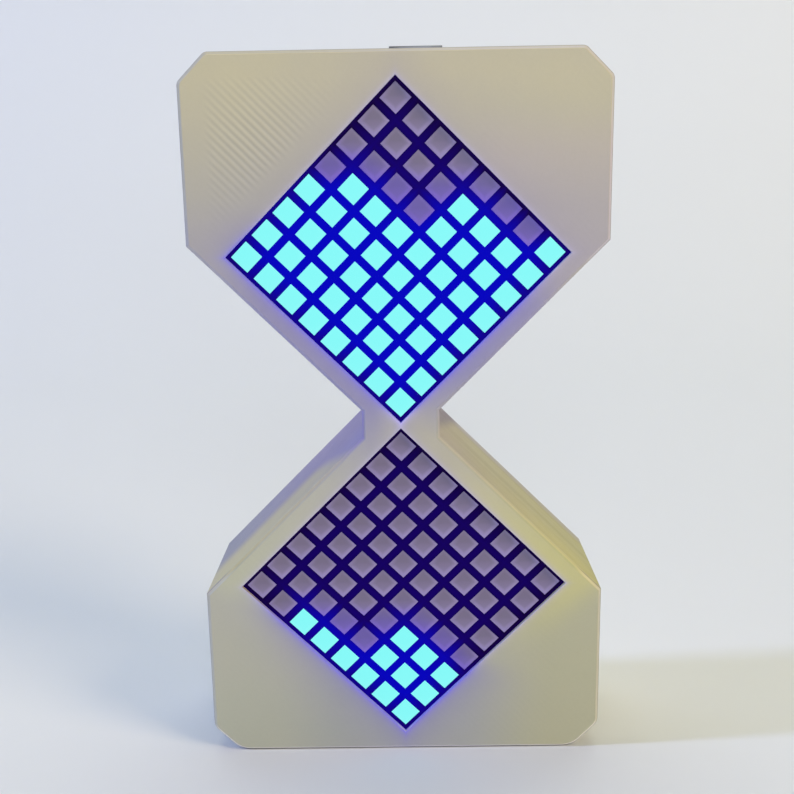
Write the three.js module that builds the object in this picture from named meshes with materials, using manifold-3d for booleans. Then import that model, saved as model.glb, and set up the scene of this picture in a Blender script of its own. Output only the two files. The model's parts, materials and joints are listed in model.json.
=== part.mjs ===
// Electronic hourglass timer: two square dot displays, each standing on a corner, in a
// case with a narrow waist, with a control board and a flat battery behind them.
// Lengths are millimetres. X runs to the right, Y from the front to the back and Z up.
// Inside the case Y is counted from the front face, and Z from the face it stands on.
import * as THREE from "three";
import { mergeVertices } from "three/addons/utils/BufferGeometryUtils.js";
import Module from "manifold-3d";

const wasm = await Module();
wasm.setup();

// Gaps between pieces
const seatGap = 0.3; // where one piece rests on another
const fineGap = 0.1; // where a piece is cast, soldered or clipped in place
const slideGap = 0.15; // where a piece moves
const plugGap = 0.2; // round a plug in its socket
const cutOverrun = 1; // how far a cutter passes the face that it opens

// Dot display
const displaySide = 32.4;
const displayDepth = 6;
const cellsPerSide = 8;
const cellSide = 3;
const cellBackSide = 2.4;
const reflectorDepth = 4;
const trayWall = 0.8;
const lampBoardThickness = 0.8;
const pinSide = 0.5;
const pinPitch = 2.54;
const pinsPerRow = 8;
const pinRowSpacing = 22.86;

// Case, drawn round the two displays
const displayCornerGap = 0.56; // between the two corners that meet in the waist
const sideMargin = 5.02; // from a display's side corner to the side of the case
const crownMargin = 3.14; // from the upper display's top corner to the top
const footMargin = 2.67; // from the lower display's bottom corner to the base
const slopeMargin = 2.79; // from the lower display's upper edges to the slopes beside them
const waistWidth = 10.6;
const cornerCut = 3.7;
const caseWall = 1.8;
const frontWall = 1.6;
const windowLip = 0.6;
const lipCover = 0.05; // how far the lip covers the display's edge
const pocketGap = 0.15;
const edgeChamfer = 0.45;

// Depth of what is stacked behind the displays
const driverBoardThickness = 1.2;
const wiringRoom = 4.3; // from the driver boards to the control board
const controlBoardThickness = 1.2;
const boardPostHeight = 5.2; // from the control board to the rear cover
const coverThickness = 2;

// Rear cover
const rimThickness = 1.2;
const rimHeight = 1.6;
const rimGap = 0.2;
const holdPostRadius = 1.3;
const holdPostFootRadius = 1.9;
const holdPostInset = 3.6; // from a display's side corner to the post behind it
const boardPostRadius = 1.7;
const ribThickness = 1.2;
const ribHeight = 3.4;
const ribLengthShare = 0.5; // of the battery's side that the rib stands beside
const wellDepth = 1;
const wellMargin = 1.6;
const wellFlare = 0.5;
const dishRadius = 4.6;
const dishDepth = 0.5;
const soundHoleRadius = 0.6;
const soundRingRadius = 2.4;
const soundRingHoles = 6;

// Cover screws and their bosses
const bossRadius = 3.2;
const bossInset = 3; // from the walls' inner faces to the boss's axis
const screwShankRadius = 0.8;
const screwLength = 8;
const screwHeadRadius = 1.9;
const screwHeadHeight = 1.2;
const screwTipLength = 0.8;
const driveSlotLength = 2.2;
const driveSlotWidth = 0.5;
const driveSlotDepth = 0.6;

// Control board, hung from its top edge. Its pieces stand so far down from that edge and,
// apart from the charging socket, at shares of half its width to the right of its middle
const controlBoardWidth = 28;
const controlBoardTopGap = 0.6;
const controlBoardDrop = 5.4; // its bottom edge below the upper display's middle
const boardPostInset = 2.3;
const boardScrewShankRadius = 0.6;
const boardScrewLength = 4.2;
const boardScrewHeadRadius = 1.4;
const boardScrewHeadHeight = 0.9;
const socketAcross = 2.8;
const chargerDown = 3.4;
const lampDown = 5.2;
const buttonAcrossShare = 0.535;
const buttonDown = 9.7;
const switchAcrossShare = -0.465;
const switchDown = 9.5;
const sensorAcrossShare = 0.085;
const sensorDown = 9;
const buzzerAcrossShare = -0.6;
const buzzerDown = 18;
const controllerAcrossShare = 0.23;
const controllerDown = 16.8;
const crystalAcrossShare = 0.64;
const crystalDown = 15;
const batterySocketAcrossShare = 0.1;

// Charging socket
const socketWidth = 7.4;
const socketHeight = 2.8;
const socketLength = 7.4;
const socketReach = 1.4; // how far its rim stands out of the case
const socketSheet = 0.3;
const socketCut = 0.8; // the two cut corners that let the plug in one way round
const socketFrameGap = 0.3;
const tongueWidth = 4;
const tongueThickness = 0.7;
const tongueLength = 4.6;
const tongueBaseLength = 1.6;

// Power switch
const switchLength = 8.6;
const switchWidth = 3.7;
const switchHeight = 3.4;
const switchSheet = 0.3;
const switchBaseHeight = 1;
const switchTravel = 2;
const knobLength = 2;
const knobWidth = 1.5;
const knobRecess = 0.3; // how far the knob's end lies below the back of the case
const carriageLength = 4.4;
const carriageHeight = 1.6;
const switchTerminals = 3;
const terminalPitch = 2.5;
const terminalSide = 0.5;

// Time button
const tactSide = 6;
const tactHeight = 3.4;
const tactWellDepth = 1.5;
const plungerRadius = 1.7;
const plungerReach = 0.6;
const tactLegSpan = 4.5;
const capRadius = 2.5;
const capFlangeRadius = 3.3;
const capFlangeThickness = 0.6;
const capRecess = 0.2;
const capNoseRadius = 1.4;

// Buzzer
const buzzerRadius = 4.5;
const buzzerHeight = 4.4;
const buzzerMouthRadius = 0.9;
const buzzerMouthDepth = 1;
const buzzerRim = 0.4;
const buzzerLegSpacing = 5;

// Chips: body, span across the leads' feet, leads on each side, their spacing and width
const leadThickness = 0.2;
const driverChip = {
  length: 15.4,
  width: 7.5,
  height: 2.3,
  span: 10.3,
  perSide: 12,
  pitch: 1.27,
  lead: 0.42,
};
const chargerChip = {
  length: 4.9,
  width: 3.9,
  height: 1.5,
  span: 6,
  perSide: 4,
  pitch: 1.27,
  lead: 0.42,
};
const controllerChip = {
  length: 5,
  width: 4.4,
  height: 1,
  span: 6.4,
  perSide: 7,
  pitch: 0.65,
  lead: 0.25,
};
const footShare = 0.55; // of a lead's reach that lies on the board
const chipSideInset = 0.15;
const sensorSide = 4;
const sensorHeight = 0.9;
const crystalLength = 3.2;
const crystalWidth = 2.5;
const crystalHeight = 0.8;
const crystalLid = 0.2;

// Small parts with metal ends
const capacitorSize = { length: 3.2, width: 1.6, height: 1.5, end: 0.5 };
const resistorSize = { length: 2, width: 1.25, height: 0.55, end: 0.35 };
const lampSize = { length: 1.6, width: 0.8, height: 0.7, end: 0.3 };
const endCapProud = 0.06;
const smallPartAcross = -10.8;
const resistorAlong = 4;

// Pin strip between the upper driver board and the control board
const stripPins = 5;
const stripPinSpacing = 2;
const stripWidth = 2;
const stripThickness = 1.5;
const stripAcross = 11;
const stripUp = 4.5;
const stripHoleMargin = 0.2;

// Link through the waist
const linkSocket = { width: 7, depth: 3.4, height: 2.9, wall: 0.5 };
const linkSocketMargin = 0.7; // from the board's edges to the socket's corners
const linkPlugProud = 1.1;
const linkCores = 5;
const linkCoreSpacing = 1;
const linkCoreRadius = 0.55;
const linkBow = 0.8;

// Battery and its leads
const cellWidth = 25;
const cellHeight = 26;
const cellThickness = 4.2;
const cellLift = 2.2; // from the inside of the base
const padThickness = 0.7;
const padInset = 3;
const guardBoardWidth = 18;
const guardBoardHeight = 3;
const guardBoardThickness = 1;
const leadRadius = 0.6;
const leadSpacing = 2;
const leadSway = 0.9;
const batterySocket = { width: 7, depth: 5.4, height: 4.4, wall: 0.6 };
const batteryPlugProud = 1.4;

// How finely round pieces are cut into faces
const roundSides = 12;
const fineSides = 20;
const holeSides = 8;
const wireSides = 8;
const pinHoleSides = 6;
const wireSteps = 9;
const arcSteps = 3;

// Places worked out from the sizes above
const root2 = Math.SQRT2;
const displayDiagonal = displaySide * root2;
const displaySpacing = displayDiagonal + displayCornerGap;
const caseWidth = displayDiagonal + 2 * sideMargin;
const lowerMiddle = footMargin + displayDiagonal / 2;
const upperMiddle = lowerMiddle + displaySpacing;
const meeting = (lowerMiddle + upperMiddle) / 2; // where the displays' corners meet
const caseHeight = upperMiddle + displayDiagonal / 2 + crownMargin;
const caseMiddle = caseHeight / 2; // the middle of the waist
const displayFront = windowLip + fineGap;
const driverFront = displayDepth + seatGap; // counted from the display's own face
const driverBack = driverFront + driverBoardThickness;
const controlFront = displayFront + driverBack + wiringRoom;
const controlBack = controlFront + controlBoardThickness;
const coverFront = controlBack + boardPostHeight;
const caseDepth = coverFront + coverThickness;
const shellDepth = coverFront - fineGap;
const roomTop = caseHeight - caseWall;
const controlTop = roomTop - controlBoardTopGap;
const controlBottom = upperMiddle - controlBoardDrop;
const controlHeight = controlTop - controlBottom;
const bossAcross = caseWidth / 2 - caseWall - bossInset;
const bossHeights = [caseWall + bossInset, roomTop - bossInset];
const bossPlaces = bossHeights.flatMap((z) => [-bossAcross, bossAcross].map((x) => [x, z]));
const holdPostAcross = displayDiagonal / 2 - holdPostInset;
const boardHalf = controlBoardWidth / 2;
const boardPostAcross = boardHalf - boardPostInset;
const buttonAcross = buttonAcrossShare * boardHalf;
const switchAcross = switchAcrossShare * boardHalf;
const sensorAcross = sensorAcrossShare * boardHalf;
const buzzerAcross = buzzerAcrossShare * boardHalf;
const controllerAcross = controllerAcrossShare * boardHalf;
const crystalAcross = crystalAcrossShare * boardHalf;
const batterySocketAcross = batterySocketAcrossShare * boardHalf;
// the charger chip stands midway between a post and the charging socket
const chargerAcross = (socketAcross - socketWidth / 2 - boardPostAcross + boardPostRadius) / 2;
const pinHoleRadius = pinSide / root2 + 2 * fineGap;
const cellBase = caseWall + cellLift;
const padFront = coverFront - fineGap - padThickness;
const cellBack = padFront - fineGap;
const plungerFloor = tactHeight - tactWellDepth;
const linkSocketEdge = displayDiagonal / 2 - linkSocket.width / 2 - linkSocketMargin;

// Finishes
const finishes = {
  shell: { color: 0xd9d3c4, roughness: 0.55, metalness: 0 },
  housing: { color: 0x14121c, roughness: 0.5, metalness: 0 },
  filling: { color: 0x9fd8e8, roughness: 0.35, metalness: 0 },
  board: { color: 0x1f5a3c, roughness: 0.45, metalness: 0 },
  chip: { color: 0x1b1b1d, roughness: 0.6, metalness: 0 },
  ceramic: { color: 0xa98a66, roughness: 0.6, metalness: 0 },
  steel: { color: 0xb9bbbd, roughness: 0.35, metalness: 1 },
  blackPlastic: { color: 0x202022, roughness: 0.5, metalness: 0 },
  whitePlastic: { color: 0xe8e4da, roughness: 0.5, metalness: 0 },
  lamp: { color: 0xf2f0d8, roughness: 0.3, metalness: 0 },
  foil: { color: 0xc3c6c9, roughness: 0.4, metalness: 0.8 },
  foam: { color: 0xe9e9e4, roughness: 0.95, metalness: 0 },
  red: { color: 0xb3201c, roughness: 0.5, metalness: 0 },
  black: { color: 0x18181a, roughness: 0.5, metalness: 0 },
  grey: { color: 0x8d9094, roughness: 0.6, metalness: 0 },
};

// A closed three.js geometry as a solid that can be joined and cut
function solid(geometry) {
  const bare = geometry.clone();
  bare.deleteAttribute("normal");
  bare.deleteAttribute("uv");
  const merged = mergeVertices(bare);
  return new wasm.Manifold(
    new wasm.Mesh({
      numProp: 3,
      vertProperties: merged.attributes.position.array,
      triVerts: new Uint32Array(merged.index.array),
    }),
  );
}

function join(parts) {
  return parts.reduce((whole, part) => whole.add(part));
}

// A named mesh of a solid, added to its group at its place
function addPiece(group, name, shape, finish, place = [0, 0, 0]) {
  const raw = shape.getMesh();
  const geometry = new THREE.BufferGeometry();
  const stride = raw.numProp;
  const positions = new Float32Array(raw.numVert * 3);
  for (let i = 0; i < raw.numVert; i++) {
    positions.set(raw.vertProperties.subarray(i * stride, i * stride + 3), i * 3);
  }
  geometry.setAttribute("position", new THREE.BufferAttribute(positions, 3));
  geometry.setIndex(new THREE.BufferAttribute(new Uint32Array(raw.triVerts), 1));
  geometry.computeVertexNormals();
  const mesh = new THREE.Mesh(geometry, new THREE.MeshStandardMaterial(finishes[finish]));
  mesh.name = name;
  mesh.position.set(...place);
  group.add(mesh);
  return mesh;
}

function addGroup(parent, x, y, z, turn = 0) {
  const group = new THREE.Group();
  group.position.set(x, y, z);
  group.rotation.y = turn;
  parent.add(group);
  return group;
}

// An outline in X and Z drawn from the front, made solid between two depths
function plate(points, front, back) {
  const outline = new THREE.Shape(points.map(([x, z]) => new THREE.Vector2(x, z)));
  const depth = back - front;
  const geometry = new THREE.ExtrudeGeometry(outline, { depth, bevelEnabled: false });
  return solid(geometry.rotateX(Math.PI / 2).translate(0, back, 0));
}

// The same, with both of its long edges chamfered
function bevelledPlate(points, front, back, bevel, inset = bevel) {
  const outline = new THREE.Shape(points.map(([x, z]) => new THREE.Vector2(x, z)));
  const geometry = new THREE.ExtrudeGeometry(outline, {
    depth: back - front - 2 * bevel,
    bevelThickness: bevel,
    bevelSize: inset,
    bevelOffset: -inset,
    bevelSegments: 1,
  });
  return solid(geometry.rotateX(Math.PI / 2).translate(0, back - bevel, 0));
}

function block(x0, x1, y0, y1, z0, z1) {
  const geometry = new THREE.BoxGeometry(x1 - x0, y1 - y0, z1 - z0);
  return solid(geometry.translate((x0 + x1) / 2, (y0 + y1) / 2, (z0 + z1) / 2));
}

// A block centred on a place in X and Z
function centredBlock(width, height, y0, y1, x = 0, z = 0) {
  return block(x - width / 2, x + width / 2, y0, y1, z - height / 2, z + height / 2);
}

// A round bar or cone along Y
function rod(frontRadius, backRadius, y0, y1, x, z, sides = roundSides) {
  const geometry = new THREE.CylinderGeometry(backRadius, frontRadius, y1 - y0, sides);
  return solid(geometry.translate(x, (y0 + y1) / 2, z));
}

// A square bar along Y that tapers from one side length to another
function taperedBar(frontSide, backSide, y0, y1, x, z) {
  const geometry = new THREE.BoxGeometry(1, 1, 1);
  const places = geometry.attributes.position;
  for (let i = 0; i < places.count; i++) {
    const side = places.getY(i) < 0 ? frontSide : backSide;
    places.setX(i, places.getX(i) * side);
    places.setZ(i, places.getZ(i) * side);
  }
  return solid(geometry.scale(1, y1 - y0, 1).translate(x, (y0 + y1) / 2, z));
}

// A revolved profile of radius and depth pairs, from the front to the back
function turnedRod(profile, sides = roundSides) {
  const points = profile.map(([radius, y]) => new THREE.Vector2(radius, y));
  return solid(new THREE.LatheGeometry(points, sides));
}

// The corners of a rectangle about the middle
function rectangle(width, height) {
  return [
    [-width / 2, -height / 2],
    [width / 2, -height / 2],
    [width / 2, height / 2],
    [-width / 2, height / 2],
  ];
}

// A square that stands on its corner
function diamond(side, x, z) {
  const reach = side / root2;
  return [
    [x, z - reach],
    [x + reach, z],
    [x, z + reach],
    [x - reach, z],
  ];
}

// The case's outline, moved inwards by an inset: right side from the base up, then left
function caseOutline(inset) {
  const side = caseWidth / 2 - inset;
  const waist = waistWidth / 2 - inset;
  const slope = (displaySide / 2 + slopeMargin - inset) * root2;
  const cut = cornerCut - inset * (2 - root2);
  const low = [
    [side - cut, inset],
    [side, inset + cut],
    [side, lowerMiddle + slope - side],
    [waist, lowerMiddle + slope - waist],
  ];
  const high = low.map(([x, z]) => [x, caseHeight - z]).reverse();
  const right = [...low, ...high];
  const left = right.map(([x, z]) => [-x, z]).reverse();
  return [...right, ...left];
}

// The four corner bosses, or the space that another piece leaves them
function bosses(radius, front, back) {
  return join(bossPlaces.map(([x, z]) => rod(radius, radius, front, back, x, z)));
}

// The notch in the top wall for the charging socket, open towards the rear cover
const notchHalfWidth = socketWidth / 2 + socketFrameGap;
const notchFront = controlBack + fineGap - socketFrameGap;
const notchBack = controlBack + fineGap + socketHeight + socketFrameGap;

function frontShell() {
  const front = bevelledPlate(caseOutline(0), 0, 3 * edgeChamfer, edgeChamfer);
  const walls = plate(caseOutline(0), 2 * edgeChamfer, shellDepth);
  const room = plate(caseOutline(caseWall), frontWall, shellDepth + cutOverrun);
  const pilot = screwShankRadius + fineGap;
  const bossBack = coverFront - seatGap;
  const posts = bosses(bossRadius, frontWall / 2, bossBack).intersect(
    plate(caseOutline(caseWall / 2), 0, shellDepth),
  );
  let shell = front.add(walls).subtract(room).add(posts);
  shell = shell.subtract(bosses(pilot, coverFront - screwLength, bossBack + cutOverrun));
  for (const middle of [lowerMiddle, upperMiddle]) {
    const pocketSide = displaySide + 2 * pocketGap;
    const windowSide = displaySide - 2 * lipCover;
    shell = shell
      .subtract(plate(diamond(pocketSide, 0, middle), windowLip, frontWall + cutOverrun))
      .subtract(plate(diamond(windowSide, 0, middle), -cutOverrun, frontWall));
  }
  // the pockets' corners run into one another in the waist
  const bridgeSide = 2 * displayCornerGap;
  const bridgeBack = frontWall + cutOverrun;
  const bridge = centredBlock(bridgeSide, bridgeSide, windowLip, bridgeBack, 0, meeting);
  const notch = block(
    socketAcross - notchHalfWidth,
    socketAcross + notchHalfWidth,
    notchFront,
    shellDepth + cutOverrun,
    roomTop - cutOverrun,
    caseHeight + cutOverrun,
  );
  return shell.subtract(bridge).subtract(notch);
}

// The rim that centres the cover in the shell, cut back round the bosses
function coverRim() {
  const outer = caseWall + rimGap;
  const front = coverFront - rimHeight;
  const rim = plate(caseOutline(outer), front, coverFront + fineGap);
  const inner = plate(caseOutline(outer + rimThickness), front - cutOverrun, caseDepth);
  const round = bosses(bossRadius + seatGap, front - cutOverrun, coverFront);
  return rim.subtract(inner).subtract(round);
}

// Posts that press the displays into their pockets
function holdPosts() {
  const front = displayFront + driverBack + seatGap;
  const back = coverFront + fineGap;
  return [lowerMiddle, upperMiddle].flatMap((z) =>
    [-holdPostAcross, holdPostAcross].map((x) =>
      rod(holdPostRadius, holdPostFootRadius, front, back, x, z),
    ),
  );
}

// Places of the control board's four posts
function boardPostPlaces() {
  const heights = [controlBottom + boardPostInset, controlTop - boardPostInset];
  return heights.flatMap((z) => [-boardPostAcross, boardPostAcross].map((x) => [x, z]));
}

function boardPosts() {
  const pilot = boardScrewShankRadius + fineGap;
  const radius = boardPostRadius;
  return boardPostPlaces().map(([x, z]) => {
    const post = rod(radius, radius, controlBack + fineGap, coverFront + fineGap, x, z);
    const hole = rod(pilot, pilot, controlBack - cutOverrun, coverFront - cutOverrun, x, z, holeSides);
    return post.subtract(hole);
  });
}

// Low ribs on all four sides of the battery
function batteryRibs() {
  const front = coverFront - ribHeight;
  const back = coverFront + fineGap;
  const outer = cellWidth / 2 + seatGap + ribThickness / 2;
  const middle = cellBase + cellHeight / 2;
  const upright = [-outer, outer].map((x) =>
    centredBlock(ribThickness, cellHeight * ribLengthShare, front, back, x, middle),
  );
  const lower = cellBase - seatGap - ribThickness / 2;
  const upper = cellBase + cellHeight + seatGap + ribThickness / 2;
  const level = centredBlock(cellWidth * ribLengthShare, ribThickness, front, back, 0, lower);
  // the upper rib stands in two halves beside the guard board
  const half = (cellWidth - guardBoardWidth) / 2 - seatGap;
  const halfMiddle = cellWidth / 2 - half / 2;
  const halves = [-halfMiddle, halfMiddle].map((x) =>
    centredBlock(half, ribThickness, front, back, x, upper),
  );
  return [...upright, level, ...halves];
}

// What closes the socket's notch behind the socket
function notchTab() {
  const half = notchHalfWidth - fineGap;
  return block(
    socketAcross - half,
    socketAcross + half,
    notchBack,
    coverFront + fineGap,
    roomTop + fineGap,
    caseHeight,
  );
}

const switchHeightUp = controlTop - switchDown;
const buttonHeightUp = controlTop - buttonDown;
const buzzerHeightUp = controlTop - buzzerDown;
const knobMiddle = switchAcross - switchTravel / 2; // the knob rests at the end of its way

// The finger well and slot over the power switch
function switchOpening() {
  const slotWidth = knobLength + switchTravel + 2 * slideGap;
  const slotHeight = knobWidth + 2 * slideGap;
  const wellWidth = slotWidth + 2 * wellMargin;
  const wellHeight = slotHeight + 2 * wellMargin;
  const slot = centredBlock(slotWidth, slotHeight, coverFront - cutOverrun, caseDepth);
  const wellFront = caseDepth - wellDepth;
  const wellBack = caseDepth + wellDepth;
  const well = bevelledPlate(
    rectangle(wellWidth, wellHeight),
    wellFront,
    wellBack,
    wellDepth,
    wellFlare,
  );
  return slot.add(well).translate(switchAcross, 0, switchHeightUp);
}

function buttonOpening() {
  const hole = capRadius + slideGap;
  const opening = turnedRod(
    [
      [0, coverFront - cutOverrun],
      [hole, coverFront - cutOverrun],
      [hole, caseDepth - dishDepth],
      [dishRadius, caseDepth],
      [dishRadius, caseDepth + cutOverrun],
      [0, caseDepth + cutOverrun],
    ],
    fineSides,
  );
  return opening.translate(buttonAcross, 0, buttonHeightUp);
}

function soundHoles() {
  const places = [[0, 0]];
  for (let i = 0; i < soundRingHoles; i++) {
    const angle = (i * 2 * Math.PI) / soundRingHoles;
    places.push([soundRingRadius * Math.cos(angle), soundRingRadius * Math.sin(angle)]);
  }
  return places.map(([x, z]) =>
    rod(
      soundHoleRadius,
      soundHoleRadius,
      coverFront - cutOverrun,
      caseDepth + cutOverrun,
      buzzerAcross + x,
      buzzerHeightUp + z,
      holeSides,
    ),
  );
}

// Countersunk holes for the cover screws
function coverScrewHoles() {
  const shank = screwShankRadius + seatGap;
  const head = screwHeadRadius + fineGap;
  const sinkBack = caseDepth - 2 * fineGap;
  const holes = bossPlaces.map(([x, z]) => {
    const through = rod(shank, shank, coverFront - cutOverrun, caseDepth + cutOverrun, x, z);
    const sink = rod(shank, head, sinkBack - screwHeadHeight, sinkBack, x, z);
    const mouth = rod(head, head, sinkBack - fineGap, caseDepth + cutOverrun, x, z);
    return through.add(sink).add(mouth);
  });
  return join(holes);
}

function rearCover() {
  const skin = bevelledPlate(caseOutline(0), caseDepth - 3 * edgeChamfer, caseDepth, edgeChamfer);
  const base = plate(caseOutline(0), coverFront, caseDepth - 2 * edgeChamfer);
  const added = [skin, coverRim(), notchTab(), ...holdPosts(), ...boardPosts(), ...batteryRibs()];
  const cover = added.reduce((whole, part) => whole.add(part), base);
  const removed = [coverScrewHoles(), switchOpening(), buttonOpening(), ...soundHoles()];
  return removed.reduce((whole, part) => whole.subtract(part), cover);
}

// A countersunk screw with a cross recess, its head's face at depth 0
function coverScrew() {
  const end = driveSlotDepth;
  const body = turnedRod([
    [0, -screwLength],
    [screwShankRadius, screwTipLength - screwLength],
    [screwShankRadius, -screwHeadHeight],
    [screwHeadRadius, -fineGap],
    [screwHeadRadius, 0],
    [0, 0],
  ]);
  return body
    .subtract(centredBlock(driveSlotLength, driveSlotWidth, -end, cutOverrun))
    .subtract(centredBlock(driveSlotWidth, driveSlotLength, -end, cutOverrun));
}

// A pan-headed screw that enters from the front, the seat of its head at depth 0
function boardScrew() {
  const body = turnedRod(
    [
      [0, -boardScrewHeadHeight],
      [boardScrewHeadRadius * Math.SQRT1_2, -boardScrewHeadHeight],
      [boardScrewHeadRadius, 0],
      [boardScrewShankRadius, 0],
      [boardScrewShankRadius, boardScrewLength],
      [0, boardScrewLength],
    ],
    holeSides,
  );
  const slot = boardScrewHeadHeight / 2;
  return body.subtract(
    centredBlock(driveSlotLength, driveSlotWidth, -boardScrewHeadHeight - cutOverrun, -slot),
  );
}

// So many places in a row about the middle
function row(count, spacing) {
  return Array.from({ length: count }, (_, i) => (i - (count - 1) / 2) * spacing);
}

// The middles of a display's cells
function cellPlaces() {
  const steps = row(cellsPerSide, displaySide / cellsPerSide);
  return steps.flatMap((x) => steps.map((z) => [x, z]));
}

// The middles of a display's two rows of pins
function pinPlaces() {
  const steps = row(pinsPerRow, pinPitch);
  return [-pinRowSpacing / 2, pinRowSpacing / 2].flatMap((z) => steps.map((x) => [x, z]));
}

// The reflector: a block with a tapered square well for every lamp and a tray behind
function matrixHousing() {
  const traySide = displaySide - 2 * trayWall;
  const housing = centredBlock(displaySide, displaySide, 0, displayDepth);
  const tray = centredBlock(traySide, traySide, reflectorDepth, displayDepth + cutOverrun);
  // each well runs on past both of its faces with the same taper
  const run = reflectorDepth + 2 * cutOverrun;
  const spread = ((cellSide - cellBackSide) * cutOverrun) / reflectorDepth;
  const wells = cellPlaces().map(([x, z]) =>
    taperedBar(cellSide + spread, cellBackSide - spread, -cutOverrun, run - cutOverrun, x, z),
  );
  return housing.subtract(tray).subtract(join(wells));
}

// The cast filling: a light window in each well, all on one slab
function cellFilling() {
  const traySide = displaySide - 2 * trayWall - 2 * fineGap;
  const slabFront = reflectorDepth + fineGap;
  const slabBack = displayDepth - lampBoardThickness - seatGap;
  const slab = centredBlock(traySide, traySide, slabFront, slabBack);
  const windows = cellPlaces().map(([x, z]) =>
    taperedBar(cellSide - 2 * fineGap, cellBackSide - 2 * fineGap, 0, slabFront + fineGap, x, z),
  );
  return slab.add(join(windows));
}

// The board that carries the lamps, with its two rows of pins
function lampBoard() {
  const side = displaySide - 2 * trayWall - 2 * fineGap;
  const board = centredBlock(side, side, displayDepth - lampBoardThickness, displayDepth);
  const pins = pinPlaces().map(([x, z]) =>
    centredBlock(pinSide, pinSide, displayDepth - fineGap, driverBack - fineGap, x, z),
  );
  return board.add(join(pins));
}

// Places of the five pins of the strip, from the display's middle
function stripPlaces() {
  return row(stripPins, stripPinSpacing).map((z) => [stripAcross, stripUp + z]);
}

// A display's driver board, with holes for the display's pins and the strip's
function driverBoard() {
  const board = plate(diamond(displaySide - 2 * fineGap, 0, 0), driverFront, driverBack);
  const turned = pinPlaces().map(([x, z]) => [(x + z) / root2, (z - x) / root2]);
  const radius = pinHoleRadius;
  const front = driverFront - cutOverrun;
  const back = driverBack + cutOverrun;
  const holes = [...turned, ...stripPlaces()].map(([x, z]) =>
    rod(radius, radius, front, back, x, z, pinHoleSides),
  );
  return board.subtract(join(holes));
}

// A chip on bent gull-wing leads, standing on the face at depth 0, its length along Z
function leadedChip({ length, width, height, span, perSide, pitch, lead }) {
  const halfThickness = leadThickness / 2;
  const middle = height / 2;
  const edge = width / 2 - chipSideInset;
  const reach = span / 2 - width / 2;
  const shoulder = span / 2 - reach * footShare;
  const foot = span / 2;
  const profile = [
    [edge, middle - halfThickness],
    [shoulder - halfThickness, middle - halfThickness],
    [shoulder - halfThickness, fineGap],
    [foot, fineGap],
    [foot, fineGap + leadThickness],
    [shoulder + halfThickness, fineGap + leadThickness],
    [shoulder + halfThickness, middle + halfThickness],
    [edge, middle + halfThickness],
  ];
  const outline = new THREE.Shape(profile.map(([x, y]) => new THREE.Vector2(x, y)));
  const bevel = (height - 2 * fineGap - leadThickness) / 2;
  const body = bevelledPlate(rectangle(width, length), 2 * fineGap, height, bevel, chipSideInset);
  const parts = [body];
  for (const turn of [0, Math.PI]) {
    for (const place of row(perSide, pitch)) {
      const geometry = new THREE.ExtrudeGeometry(outline, { depth: lead, bevelEnabled: false });
      parts.push(solid(geometry.translate(0, 0, place - lead / 2).rotateY(turn)));
    }
  }
  return join(parts);
}

// A small part with a metal cap at each end, lying along X on the face at depth 0
function cappedPart({ length, width, height, end }) {
  const front = fineGap + endCapProud;
  const back = height - endCapProud;
  const body = centredBlock(length - end, width - 2 * endCapProud, front, back);
  const caps = [-1, 1].map((way) =>
    centredBlock(end, width, fineGap, height, (way * (length - end)) / 2, 0),
  );
  return body.add(join(caps));
}

// A socket that lies on the board, its mouth facing down, its mouth's edge at Z 0
function boardSocket({ width, depth, height, wall }) {
  const body = centredBlock(width, depth, fineGap, height, 0, depth / 2);
  const mouth = block(
    wall - width / 2,
    width / 2 - wall,
    fineGap + wall,
    height - wall,
    -cutOverrun,
    depth - wall,
  );
  return body.subtract(mouth);
}

// The plug that fits that socket, with a small latch step outside
function socketPlug({ width, depth, height, wall }, proud, gap) {
  const half = width / 2 - wall - gap;
  const front = fineGap + wall + gap;
  const back = height - wall - gap;
  const body = block(-half, half, front, back, -proud, depth - wall - gap);
  const step = block(-half / 2, half / 2, front, back + gap, -proud, -gap);
  return body.add(step);
}

// The section of a flat ribbon of round cores
function ribbonSection() {
  const dip = Math.acos(linkCoreSpacing / (2 * linkCoreRadius));
  const points = [];
  for (const side of [1, -1]) {
    row(linkCores, linkCoreSpacing).forEach((place, core) => {
      const first = core === 0 ? 0 : dip;
      const last = core === linkCores - 1 ? Math.PI : Math.PI - dip;
      for (let i = 0; i < arcSteps; i++) {
        const angle = first + ((last - first) * i) / arcSteps;
        const x = place - linkCoreRadius * Math.cos(angle);
        points.push(new THREE.Vector2(side * x, side * linkCoreRadius * Math.sin(angle)));
      }
    });
  }
  return new THREE.Shape(points.reverse());
}

function roundSection(radius) {
  const points = Array.from({ length: wireSides }, (_, i) => {
    const angle = (i * 2 * Math.PI) / wireSides;
    return new THREE.Vector2(radius * Math.cos(angle), radius * Math.sin(angle));
  });
  return new THREE.Shape(points);
}

// A tube of a section along a smooth route
function tube(section, route) {
  const extrudePath = new THREE.CatmullRomCurve3(route.map((place) => new THREE.Vector3(...place)));
  return solid(new THREE.ExtrudeGeometry(section, { steps: wireSteps, extrudePath }));
}

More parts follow.
